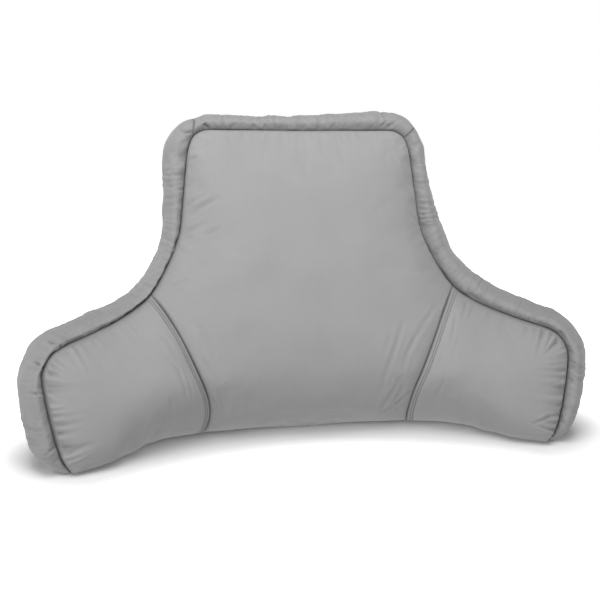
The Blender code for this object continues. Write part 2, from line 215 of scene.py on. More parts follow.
def line_distance(points: Points, line: Points) -> tuple[Points, Points]:
    """Distance from points to a line of points, in any number of dimensions.

    Args:
        points: an array of points, the last axis their numbers.
        line: the line's points.

    Returns:
        The shortest distance of each point, and the length along the line up to its nearest place.
    """
    flat = points.reshape(-1, points.shape[-1])
    best = np.full(len(flat), FAR_AWAY)
    place = np.zeros(len(flat))
    start = 0.0
    for a, b in zip(line, line[1:]):
        edge = b - a
        size = float(np.linalg.norm(edge))
        t = np.clip((flat - a) @ edge / max(size * size, TINY), 0.0, 1.0)
        distance = np.linalg.norm(flat - a - t[:, None] * edge, axis=1)
        nearer = distance < best
        best[nearer] = distance[nearer]
        place[nearer] = start + t[nearer] * size
        start += size
    return best.reshape(points.shape[:-1]), place.reshape(points.shape[:-1])


def wavering(numbers: Points, seed: float, spacing: float) -> Points:
    """Smooth irregular wave along one number, between about -1 and 1."""
    flat = [noise.noise(Vector((n / spacing, seed, 0.5 * seed))) for n in np.ravel(numbers)]
    return 2.0 * np.reshape(flat, np.shape(numbers))


def lumps(points: Points, seed: float, spacing: float) -> Points:
    """Smooth irregular lumps over places in space, between about -1 and 1."""
    shifted = points.reshape(-1, 3) / spacing + seed
    return 2.0 * np.reshape([noise.noise(Vector(p)) for p in shifted], points.shape[:-1])


def grid_normals(grid: Points) -> Points:
    """Unit normals of a grid of points, towards the viewer where columns run right and rows up."""
    across = np.gradient(grid, axis=1)
    up = np.gradient(grid, axis=0)
    normal = np.cross(across, up)
    return normal / np.maximum(np.linalg.norm(normal, axis=-1, keepdims=True), TINY)


def close_ends(cells: int, closeness: float = 0.8) -> Points:
    """Shares from 0 to 1 that lie closer together at both ends."""
    even = np.linspace(0.0, 1.0, cells + 1)
    return (1.0 - closeness) * even + closeness * (0.5 - 0.5 * np.cos(np.pi * even))


def patch(bottom: Points, top: Points, left: Points, right: Points,
          u: Points, w: Points) -> Points:
    """Grid of flat points filled in between four lines.

    Args:
        bottom: line from left to right.
        top: line from left to right.
        left: line from bottom to top.
        right: line from bottom to top.
        u: shares of the columns.
        w: shares of the rows.

    Returns:
        Points by row and column.
    """
    low, high = along(bottom, u)[None], along(top, u)[None]
    near, far = along(left, w)[:, None], along(right, w)[:, None]
    u, w = u[None, :, None], w[:, None, None]
    left_ends = (1 - w) * bottom[0] + w * top[0]
    right_ends = (1 - w) * bottom[-1] + w * top[-1]
    corners = (1 - u) * left_ends + u * right_ends
    return (1 - w) * low + w * high + (1 - u) * near + u * far - corners


def resample(grid: Points, rows: Points, columns: Points) -> Points:
    """Values of an even grid at other shares of its rows and columns, by smooth curves."""
    def weights(shares: Points, cells: int) -> Points:
        """Matrix that takes the even grid's values to the wanted shares."""
        place = shares * cells
        start = np.minimum(place.astype(int), cells - 1)
        t = place - start
        matrix = np.zeros((len(shares), cells + 1))
        parts = (
            (-1, 0.5 * (-t + 2 * t ** 2 - t ** 3)),
            (0, 0.5 * (2 - 5 * t ** 2 + 3 * t ** 3)),
            (1, 0.5 * (t + 4 * t ** 2 - 3 * t ** 3)),
            (2, 0.5 * (t ** 3 - t ** 2)),
        )
        for step, part in parts:
            np.add.at(matrix, (np.arange(len(shares)), np.clip(start + step, 0, cells)), part)
        return matrix

    over = np.einsum("ri,icx->rcx", weights(rows, grid.shape[0] - 1), grid)
    return np.einsum("kc,rcx->rkx", weights(columns, grid.shape[1] - 1), over)


def blurred(grid: Points, passes: int) -> Points:
    """A grid of vectors with its small forms smoothed away."""
    smooth = grid.copy()
    for _ in range(passes):
        for axis in (0, 1):
            padded = np.concatenate(
                [smooth.take([0], axis), smooth, smooth.take([-1], axis)], axis=axis)
            count = smooth.shape[axis]
            smooth = (padded.take(range(count), axis) + 2 * smooth
                      + padded.take(range(2, count + 2), axis)) / 4.0
    return smooth


def rim_mask(shape: tuple[int, ...]) -> Points:
    """True for the points on the rim of a grid, and False inside."""
    mask = np.zeros(shape[:2], bool)
    mask[[0, -1], :] = True
    mask[:, [0, -1]] = True
    return mask


def on_right(flat: Points) -> Points:
    """(across, height) points, those of the left half mirrored to the right half."""
    return np.stack([np.abs(flat[..., 0]), flat[..., 1]], axis=-1)


def outline_seam() -> Points:
    """The right half of the outline seam as a coarse line of (across, height) points."""
    return smooth_line(SEAM_ROWS, FOOT_ROW, MIDDLE_ROW, SEAM_STEP)[:, :2]


def crease_seam() -> Points:
    """The right crease as a coarse line of (across, height) points."""
    return smooth_line(CREASE_ROWS, 0, len(CREASE_ROWS) - 1, CREASE_STEP)


def linked(name: str, data: bpy.types.ID) -> bpy.types.Object:
    """A new object of the scene with the given mesh, lamp or camera."""
    made = bpy.data.objects.new(name, data)
    bpy.context.scene.collection.objects.link(made)
    return made


@dataclass(frozen=True)
class CushionForm:
    """Main form of the stuffed cushion, shared by all its pieces."""

    seam_depth: float = 0.045
    back_seam: float = 0.015
    back_crown: float = 0.034
    top_swell: float = 0.036
    belly_swell: float = 0.056
    belly_height: float = 0.140
    belly_reach: float = 0.230
    crown_reach: float = 0.120
    corner_sharpness: float = 3.0
    crease_drop: float = 0.16
    crease_width: float = 0.015
    wing_loss: float = 0.30
    wing_loss_start: float = 0.26
    wing_loss_end: float = 0.46
    base_pull_height: float = 0.125
    border_edge: float = 0.0015
    front_roll: float = 0.013
    back_roll: float = 0.007
    roll_end: float = 0.45
    foot_blend: float = 0.05
    wing_turn: float = math.radians(31.0)
    wing_radius: float = 0.50
    fold_at_floor: float = 0.165
    fold_slope: float = 0.30
    lean: float = math.tan(math.radians(7.5))
    shift: tuple[float, float] = (-0.0025, 0.0433)

    def roundness(self, distance: Points) -> Points:
        """Rounded rise from a seam: 0 on the seam, 1 from the crown's reach on."""
        t = np.clip(distance / self.crown_reach, 0.0, 1.0)
        return np.sqrt(1.0 - (1.0 - t) ** 2)

    def seam_distance(self, flat: Points) -> Points:
        """Distance of (across, height) points to the outline and base seams, rounded in corners."""
        distances = [flat[..., 1] - PIECE_FLOOR]
        for first, last in zip(SEAM_ENDS, SEAM_ENDS[1:]):
            line = smooth_line(SEAM_ROWS, first, last, SEAM_STEP)[:, :2]
            distances.append(line_distance(on_right(flat), line)[0])
        total = sum(
            np.maximum(distance, LEAST_DISTANCE) ** -self.corner_sharpness
            for distance in distances)
        return total ** (-1.0 / self.corner_sharpness)

    def crease_distance(self, flat: Points) -> tuple[Points, Points]:
        """Distance of (across, height) points to the nearer crease, and the length up to there."""
        return line_distance(on_right(flat), crease_seam())

    def front_depth(self, flat: Points) -> Points:
        """Depth of the front cloth at (across, height) points, drawn in along the creases."""
        across, height = np.abs(flat[..., 0]), flat[..., 1]
        share = (across - self.wing_loss_start) / (self.wing_loss_end - self.wing_loss_start)
        belly = bell(height - self.belly_height, self.belly_reach)
        swell = self.top_swell + self.belly_swell * belly
        swell = swell * (1.0 - self.wing_loss * ease(share))
        swell = swell * self.roundness(self.seam_distance(flat))
        crease = self.crease_distance(flat)[0]
        swell = swell * (1.0 - self.crease_drop * np.exp(-crease / self.crease_width))
        pull = 1.0 - ease((height - PIECE_FLOOR) / self.base_pull_height)
        return self.seam_depth - eased_table(BASE_ROWS, across) * pull + swell

    def back_depth(self, flat: Points) -> Points:
        """Depth of the back of the filling at (across, height) points."""
        return -self.back_seam - self.back_crown * self.roundness(self.seam_distance(flat))

    def place(self, flat: Points, depth: Points) -> Points:
        """World places of points on the bent middle surface.

        Args:
            flat: (across, height) by point.
            depth: distance ahead of the surface, by point.

        Returns:
            World coordinates by point.
        """
        across, height = flat[..., 0], flat[..., 1]
        reach = np.abs(across)
        arc = self.wing_radius * self.wing_turn
        start = self.fold_at_floor + self.fold_slope * height - arc / 2.0
        turn = np.clip((reach - start) / self.wing_radius, 0.0, self.wing_turn)
        rest = np.maximum(reach - start - arc, 0.0)
        sine, cosine = np.sin(turn), np.cos(turn)
        x = np.minimum(reach, start) + self.wing_radius * sine + rest * cosine - depth * sine
        y = -self.wing_radius * (1.0 - cosine) - rest * sine - depth * cosine
        return np.stack([
            np.sign(across) * x + self.shift[0],
            y + self.lean * height + self.shift[1],
            height + 0.0 * x,
        ], axis=-1)

    def border_section(self, turn: Points) -> tuple[Points, Points]:
        """Depth and share of the swell round the border, from turn 0 in front to 1 at the back."""
        middle = 0.5 * (self.seam_depth - self.back_seam)
        half = 0.5 * (self.seam_depth + self.back_seam)
        return middle + half * np.cos(np.pi * turn), np.maximum(np.sin(np.pi * turn), 0.0)

    def border_roll(self, turn: Points, height: Points) -> Points:
        """How far the stuffed border rolls ahead of its section, less and less towards its foot."""
        front = np.sin(np.pi * np.minimum(turn / self.roll_end, 1.0))
        back = np.sin(np.pi * np.minimum((1.0 - turn) / self.roll_end, 1.0))
        rolled = self.front_roll * front - self.back_roll * back
        return ease((height - PIECE_FLOOR) / self.foot_blend) * rolled


FORM = CushionForm()


@dataclass(frozen=True)
class PhotoView:
    """Camera at the viewing angle of the photograph, whose frame is 600 by 600 pixels."""

    place: tuple[float, float, float] = (-0.2372, -1.2824, 0.477)
    yaw: float = math.radians(9.88)
    pitch: float = math.radians(10.77)
    focal_pixels: float = 783.0
    frame_pixels: float = 600.0
    sensor_mm: float = 36.0

    def axes(self) -> tuple[Points, Points, Points]:
        """Unit vectors to the right, up and ahead of the camera."""
        ahead = np.array([
            math.sin(self.yaw) * math.cos(self.pitch),
            math.cos(self.yaw) * math.cos(self.pitch),
            -math.sin(self.pitch),
        ])
        right = np.array([math.cos(self.yaw), -math.sin(self.yaw), 0.0])
        return right, np.cross(right, ahead), ahead

    def pixels(self, points: Points) -> Points:
        """Pixel places of world points, rightwards and downwards."""
        right, up, ahead = self.axes()
        offset = points - np.array(self.place)
        far = offset @ ahead
        half = self.frame_pixels / 2.0
        return np.stack([
            half + self.focal_pixels * (offset @ right) / far,
            half - self.focal_pixels * (offset @ up) / far,
        ], axis=-1)

    def build(self) -> None:
        """Make the camera and set it as the scene's."""
        data = bpy.data.cameras.new("photo_camera")
        data.sensor_width = self.sensor_mm
        data.lens = self.sensor_mm * self.focal_pixels / self.frame_pixels
        camera = linked("photo_camera", data)
        right, up, ahead = (Vector(axis) for axis in self.axes())
        turned = Matrix((right, up, -ahead)).transposed().to_4x4()
        camera.matrix_world = Matrix.Translation(self.place) @ turned
        bpy.context.scene.camera = camera


VIEW = PhotoView()


@dataclass(frozen=True)
class Fold:
    """Fold in the cloth, placed along pixels of the photograph.

    A positive height is a ridge and a negative one a trough. Its painted shade says how dark its
    bottom is painted, and the lip is the share of the height that rolls up again on both sides of
    it.
    The start is its strength at the first pixel, the rise is the share of its length over which it
    grows to full strength, and it runs out at the last pixel. Places and widths of the lip and of
    the painted shade are in widths.
    """

    pixels: tuple[tuple[float, float], ...]
    height: float
    width: float
    trough_shade: float = 0.10
    start: float = 0.35
    lip: float = 0.35
    rise: float = 0.4
    lip_place: float = 1.7
    lip_width: float = 0.8
    trough_shade_width: float = 0.7

    def raise_on(self, grid: Points, seen: Points) -> tuple[Points, Points]:
        """Height and darkness of the fold at each point of a grid.

        Args:
            grid: world points by row and column.
            seen: True for points on the side that the camera sees.

        Returns:
            Heights along the normal, and painted shade from 0 to 1, by row and column.
        """
        flat = VIEW.pixels(grid)
        spots = []
        for pixel in self.pixels:
            away = np.linalg.norm(flat - np.array(pixel), axis=-1)
            away[~seen] = FAR_AWAY
            spots.append(grid[np.unravel_index(np.argmin(away), away.shape)])
        line = np.array(spots)
        distance, place = line_distance(grid, line)
        total = float(np.linalg.norm(np.diff(line, axis=0), axis=1).sum())
        share = np.clip(place / max(total, LEAST_DISTANCE), 0.0, 1.0)
        grown = self.start + (1.0 - self.start) * ease(share / self.rise)
        taper = grown * np.sqrt(1.0 - share)
        rolled = bell(distance - self.lip_place * self.width, self.lip_width * self.width)
        height = self.height * taper * (bell(distance, self.width) - self.lip * rolled)
        # painted shade along the bottom of the trough
        return height, self.trough_shade * taper * bell(distance, self.trough_shade_width * self.width)


def fold_forms(folds: Sequence[Fold], grid: Points, seen: Points) -> tuple[Points, Points]:
    """Sum of the heights of several folds at each point of a grid, and the greatest painted shade.
    """
    height = np.zeros(grid.shape[:2])
    dark = np.zeros(grid.shape[:2])
    for fold in folds:
        raised, trough_shade = fold.raise_on(grid, seen)
        height += raised
        dark = np.maximum(dark, trough_shade)
    return height, dark


@dataclass(frozen=True)
class Stuffing:
    """Cloth simulation that fills out a sewn cloth held at its seams."""

    pressure: float = 1.5
    slack: float = 0.014
    steps: int = 20
    keep_swell: float = 0.10
    gain: float = 0.5
    cap: float = 0.0035
    smooth_passes: int = 30
    quality: int = 5
    mass: float = 0.3
    stretch_stiffness: float = 20.0
    shear_stiffness: float = 8.0
    bending_stiffness: float = 0.3

    def settle(self, grid: Points, held: Points) -> Points:
        """Shift of each point of an even grid after the cloth has been filled.

        Args:
            grid: world points by row and column.
            held: True for the points that seams hold.

        Returns:
            Shifts by row and column, capped.
        """
        rows, columns = grid.shape[:2]
        mesh = bpy.data.meshes.new("cloth_run")
        index = np.arange(rows * columns).reshape(rows, columns)
        mesh.from_pydata(grid.reshape(-1, 3).tolist(), [], quad_faces(index))
        cloth = linked("cloth_run", mesh)
        group = cloth.vertex_groups.new(name="held")
        group.add(np.flatnonzero(held.ravel()).tolist(), 1.0, "REPLACE")
        modifier = cloth.modifiers.new("cloth", "CLOTH")
        settings = modifier.settings
        settings.quality = self.quality
        settings.mass = self.mass
        settings.vertex_group_mass = "held"
        settings.use_pressure = True
        settings.uniform_pressure_force = self.pressure
        settings.shrink_min = -self.slack
        settings.tension_stiffness = self.stretch_stiffness
        settings.compression_stiffness = self.stretch_stiffness
        settings.shear_stiffness = self.shear_stiffness
        settings.bending_stiffness = self.bending_stiffness
        settings.effector_weights.gravity = 0.0
        modifier.collision_settings.use_collision = False
        modifier.point_cache.frame_start = 1
        modifier.point_cache.frame_end = self.steps
        scene = bpy.context.scene
        for step in range(1, self.steps + 1):
            scene.frame_set(step)
        shown = cloth.evaluated_get(bpy.context.evaluated_depsgraph_get())
        places = np.zeros(rows * columns * 3, np.float32)
        shown.data.vertices.foreach_get("co", places)
        scene.frame_set(1)
        bpy.data.objects.remove(cloth)
        bpy.data.meshes.remove(mesh)
        shift = places.reshape(grid.shape).astype(float) - grid
        swell = blurred(shift, self.smooth_passes)
        shift = self.gain * (shift - swell) + self.keep_swell * swell
        size = np.linalg.norm(shift, axis=-1, keepdims=True)
        return shift * np.minimum(1.0, self.cap / np.maximum(size, TINY))


def quad_faces(index: Points) -> list[tuple[int, int, int, int]]:
    """Four-sided faces of a grid of point numbers, one a cell."""
    corners = (index[:-1, :-1], index[:-1, 1:], index[1:, 1:], index[1:, :-1])
    return list(zip(*(corner.ravel().tolist() for corner in corners)))


def closed_faces(rows: int, columns: int, step: int) -> tuple[Points, list[tuple[int, ...]]]:
    """Faces of a closed piece whose far side has only every few points.

    Args:
        rows: cells up the near side.
        columns: cells across the near side.
        step: near cells for one far cell.

    Returns:
        Numbers of the near points that have a far point, and the faces. Far points are numbered
        after all near points, in the order of the first result.
    """
    near = np.arange((rows + 1) * (columns + 1)).reshape(rows + 1, columns + 1)
    keep = rim_mask(near.shape)
    keep[::step, ::step] = True
    kept = near[keep]
    far = np.full(near.shape, -1)
    far[keep] = near.size + np.arange(len(kept))
    faces: list[tuple[int, ...]] = list(quad_faces(near))
    rim = [(0, c) for c in range(columns)] + [(r, columns) for r in range(rows)]
    rim += [(rows, c) for c in range(columns, 0, -1)] + [(r, 0) for r in range(rows, 0, -1)]
    for a, b in zip(rim, rim[1:] + rim[:1]):
        faces.append((near[b], near[a], far[a], far[b]))
    for r in range(0, rows, step):
        for c in range(0, columns, step):
            ring = [(r, k) for k in range(c, c + step)]
            ring += [(k, c + step) for k in range(r, r + step)]
            ring += [(r + step, k) for k in range(c + step, c, -1)]
            ring += [(k, c) for k in range(r + step, r, -1)]
            faces.append(tuple(far[spot] for spot in reversed(ring) if far[spot] >= 0))
    return kept, faces


class Wire:
    """Output of a shader node that takes part in expressions."""

    def __init__(self, painter: "Painter", socket: bpy.types.NodeSocket) -> None:
        """Keep the painter and the socket."""
        self.painter = painter
        self.socket = socket

    def __add__(self, other: "Value") -> "Wire":
        """Sum."""
        return self.painter.math("ADD", self, other)

    def __radd__(self, other: "Value") -> "Wire":
        """Sum, number first."""
        return self.painter.math("ADD", other, self)

    def __sub__(self, other: "Value") -> "Wire":
        """Difference."""
        return self.painter.math("SUBTRACT", self, other)

    def __rsub__(self, other: "Value") -> "Wire":
        """Difference, number first."""
        return self.painter.math("SUBTRACT", other, self)

    def __mul__(self, other: "Value") -> "Wire":
        """Product."""
        return self.painter.math("MULTIPLY", self, other)

    def __rmul__(self, other: "Value") -> "Wire":
        """Product, number first."""
        return self.painter.math("MULTIPLY", other, self)


Value = Union[Wire, float]


class Painter:
    """Builds the nodes of one material, or of the surroundings."""

    def __init__(self, owner: Union[bpy.types.Material, bpy.types.World],
                 shader: str = "Principled BSDF") -> None:
        """Start with the owner's own nodes.

        Args:
            owner: the material or the surroundings.
            shader: name of its shader node.
        """
        owner.use_nodes = True
        self.owner = owner
        self.tree = owner.node_tree
        self.shader = self.tree.nodes[shader]

    def node(self, kind: str, settings: dict[str, object], inputs: dict[Union[int, str], object],
             output: Union[int, str] = 0) -> Wire:
        """Add a node.

        Args:
            kind: the node's type.
            settings: its properties, set before its sockets.
            inputs: values or wires of its input sockets.
            output: which output to hand back.

        Returns:
            The chosen output.
        """
        node = self.tree.nodes.new(kind)
        for key, value in settings.items():
            setattr(node, key, value)
        for key, value in inputs.items():
            self.feed(node.inputs[key], value)
        return Wire(self, node.outputs[output])

    def feed(self, socket: bpy.types.NodeSocket, value: object) -> None:
        """Set a socket or link a wire to it."""
        if isinstance(value, Wire):
            self.tree.links.new(value.socket, socket)
        else:
            socket.default_value = value

    def finish(self, inputs: dict[str, object]) -> None:
        """Set sockets of the shader or link wires to them."""
        for name, value in inputs.items():
            self.feed(self.shader.inputs[name], value)

    def math(self, operation: str, *values: Value) -> Wire:
        """Math node on one or two values."""
        return self.node("ShaderNodeMath", {"operation": operation}, dict(enumerate(values)))

    def places(self, kind: str) -> Wire:
        """Texture coordinates of one kind."""
        return self.node("ShaderNodeTexCoord", {}, {}, kind)

    def part(self, vector: Wire, axis: str) -> Wire:
        """One coordinate of a vector."""
        return self.node("ShaderNodeSeparateXYZ", {}, {0: vector}, axis)

    def ramp(self, value: Wire, start: float, end: float, low: float, high: float) -> Wire:
        """The value, taken from start and end to low and high and held there."""
        inputs = {"Value": value, "From Min": start, "From Max": end, "To Min": low, "To Max": high}
        return self.node("ShaderNodeMapRange", {"clamp": True}, inputs)

    def mix(self, share: Value, first: object, second: object) -> Wire:
        """Blend of two colours."""
        settings = {"data_type": "RGBA"}
        return self.node("ShaderNodeMix", settings, {0: share, 6: first, 7: second}, 2)

    def cloudy(self, where: Wire, scale: float, detail: float, roughness: float = 0.5) -> Wire:
        """Noise from 0 to 1 at a number of lumps a metre."""
        inputs = {"Vector": where, "Scale": scale, "Detail": detail, "Roughness": roughness}
        return self.node("ShaderNodeTexNoise", {}, inputs, "Fac")


@dataclass(frozen=True)
class VelourFinish:
    """Matt short-pile velour."""

    name: str
    colour: tuple[float, float, float]
    light_gain: float = 1.10
    dark_gain: float = 0.90
    # painted shade: colour gain of the cloth where the seam_shade attribute is full
    shade_colour_gain: float = 0.30
    roughness: float = 0.82
    sheen: float = 0.30
    sheen_roughness: float = 0.45
    patch_scale: float = 16.0
    stroke_scale: float = 90.0
    pile_scale: float = 1500.0
    pile_depth: float = 0.00045
    nap_stretch: tuple[float, float, float] = (1.0, 1.0, 0.22)
    tone_shares: tuple[float, float, float] = (0.45, 0.30, 0.25)
    stroke_height: float = 0.8
    bump_strength: float = 0.55
    roughness_range: float = 0.14
    specular: float = 0.25

    def tinted(self, gain: float) -> tuple[float, float, float, float]:
        """The colour, lightened or darkened."""
        return (*(part * gain for part in self.colour), 1.0)

    def material(self) -> bpy.types.Material:
        """Make the velour: brushed patches, fine pile and painted shade in seams, creases and
        folds.
        """
        paint = Painter(bpy.data.materials.new(self.name))
        where = paint.places("Object")
        stretch = {0: where, 1: self.nap_stretch}
        brushed = paint.node("ShaderNodeVectorMath", {"operation": "MULTIPLY"}, stretch)
        patches = paint.cloudy(where, self.patch_scale, 3.0)
        strokes = paint.cloudy(brushed, self.stroke_scale, 4.0, 0.6)
        pile = paint.cloudy(brushed, self.pile_scale, 2.0, 0.7)
        seam = paint.node("ShaderNodeAttribute", {"attribute_name": "seam_shade"}, {}, "Fac")
        of_patches, of_strokes, of_pile = self.tone_shares
        tone = patches * of_patches + strokes * of_strokes + pile * of_pile
        colour = paint.mix(tone, self.tinted(self.dark_gain), self.tinted(self.light_gain))
        # painted shade: the colour darkens towards seams, creases, stitch rows and folds, by the
        # seam_shade attribute
        colour = paint.mix(seam, colour, self.tinted(self.shade_colour_gain))
        pressed = {
            "Strength": self.bump_strength,
            "Distance": self.pile_depth,
            "Height": pile + strokes * self.stroke_height,
        }
        paint.finish({
            "Base Color": colour,
            "Roughness": self.roughness + self.roughness_range * strokes,
            "Normal": paint.node("ShaderNodeBump", {}, pressed, "Normal"),
            "Sheen Weight": self.sheen,
            "Sheen Roughness": self.sheen_roughness,
            "Specular IOR Level": self.specular,
        })
        return paint.owner


@dataclass(frozen=True)
class ThreadFinish:
    """Twisted sewing thread."""

    name: str
    colour: tuple[float, float, float]
    roughness: float = 0.55
    ply_scale: float = 2600.0
    dark_gain: float = 0.7
    roughness_range: float = 0.2

    def material(self) -> bpy.types.Material:
        """Make the thread, with the light and dark of its plies."""
        paint = Painter(bpy.data.materials.new(self.name))
        plies = paint.cloudy(paint.places("Object"), self.ply_scale, 1.0)
        dark = (*(part * self.dark_gain for part in self.colour), 1.0)
        paint.finish({
            "Base Color": paint.mix(plies, dark, (*self.colour, 1.0)),
            "Roughness": self.roughness + self.roughness_range * plies,
        })
        return paint.owner


FRONT_VELOUR = VelourFinish("front_velour_cloth", (0.302, 0.302, 0.301))
BORDER_VELOUR = VelourFinish("border_velour_cloth", (0.281, 0.281, 0.280))
PLAIN_VELOUR = VelourFinish("plain_velour_cloth", (0.278, 0.278, 0.277))
THREAD = ThreadFinish("sewing_thread", (0.25, 0.25, 0.25))


@dataclass
class SewnPiece:
    """A piece of the cushion: its mesh, its finish and what it stands for."""

    name: str
    nodes: tuple[str, ...]
    slot: str
    finish: Union[VelourFinish, ThreadFinish]
    faces: list[tuple[int, ...]] = field(default_factory=list, repr=False)
    points: Points = field(default_factory=lambda: np.zeros((0, 3)), repr=False)
    shade: Points = field(default_factory=lambda: np.zeros(0), repr=False)
    # painted shade in the troughs of folds, puckers and crinkles
    fold_shade: Points = field(default_factory=lambda: np.zeros(0), repr=False)

    def dress(self) -> bpy.types.Object:
        """Turn the points and faces into a finished piece that rides on the cushion.

        Returns:
            The piece's object.
        """
        mesh = bpy.data.meshes.new(self.name)
        mesh.from_pydata(self.points.tolist(), [], self.faces)
        data = bmesh.new()
        data.from_mesh(mesh)
        bmesh.ops.recalc_face_normals(data, faces=data.faces)
        data.to_mesh(mesh)
        data.free()
        mesh.shade_smooth()
        # the seam_shade attribute is painted shade, which darkens the colour in seams, creases,
        # stitch rows and folds
        if len(self.shade):
            shade = mesh.attributes.new("seam_shade", "FLOAT", "POINT")
            shade.data.foreach_set("value", self.shade.astype(np.float32))
        mesh.materials.append(self.finish.material())
        piece = linked(self.name, mesh)
        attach(piece, BODY)
        if self.nodes:
            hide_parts(*self.nodes)
        LOG.info("%s: %d faces", self.name, len(self.faces))
        return piece


def crease_line(gap: float) -> Points:
    """The right crease, moved towards the centre by a gap."""
    return moved(smooth_line(CREASE_ROWS, 0, len(CREASE_ROWS) - 1), gap)


def seam_part(first: int, last: int, gap: float) -> Points:
    """Part of the right outline seam, moved into the cushion by a gap."""
    return moved(smooth_line(SEAM_ROWS, first, last), gap)


def mirrored(line: Points) -> Points:
    """The same line on the left side."""
    return line * np.array([-1.0, 1.0])


def centre_patch(u: Points, w: Points, gap: float = SEAM_GAP) -> Points:
    """Grid of the centre panel between the creases, the side seams and the top seam.

    Args:
        u: shares of the columns, from left to right.
        w: shares of the rows, from the base up.
        gap: space to the neighbouring pieces.

    Returns:
        (across, height) by row and column.
    """
    side_seam = seam_part(CREASE_TOP_ROW, TOP_CORNER_ROW, gap)
    right = np.concatenate([crease_line(gap / 2)[:-1], side_seam])
    top_right = seam_part(TOP_CORNER_ROW, MIDDLE_ROW, gap)
    top_right[-1, 0] = 0.0
    top = np.concatenate([mirrored(top_right), top_right[-2::-1]])
    top[0], top[-1] = mirrored(right[-1:])[0], right[-1]
    bottom = np.array([mirrored(right[:1])[0], right[0]])
    return patch(bottom, top, mirrored(right), right, u, w)


def wing_patch(side: Side, u: Points, w: Points, gap: float = SEAM_GAP) -> Points:
    """Grid of a wing panel between its crease, its seam and the base, from left to right."""
    inner = crease_line(-gap / 2)
    outer = seam_part(FOOT_ROW, WING_CORNER_ROW, gap)
    top = seam_part(WING_CORNER_ROW, CREASE_TOP_ROW, gap)[::-1]
    top[0] = inner[-1] = (top[0] + inner[-1]) / 2.0
    top[-1] = outer[-1]
    bottom = np.array([inner[0], outer[0]])
    if side is Side.RIGHT:
        return patch(bottom, top, inner, outer, u, w)
    lines = [mirrored(line) for line in (bottom[::-1], top[::-1], outer, inner)]
    return patch(*lines, u, w)


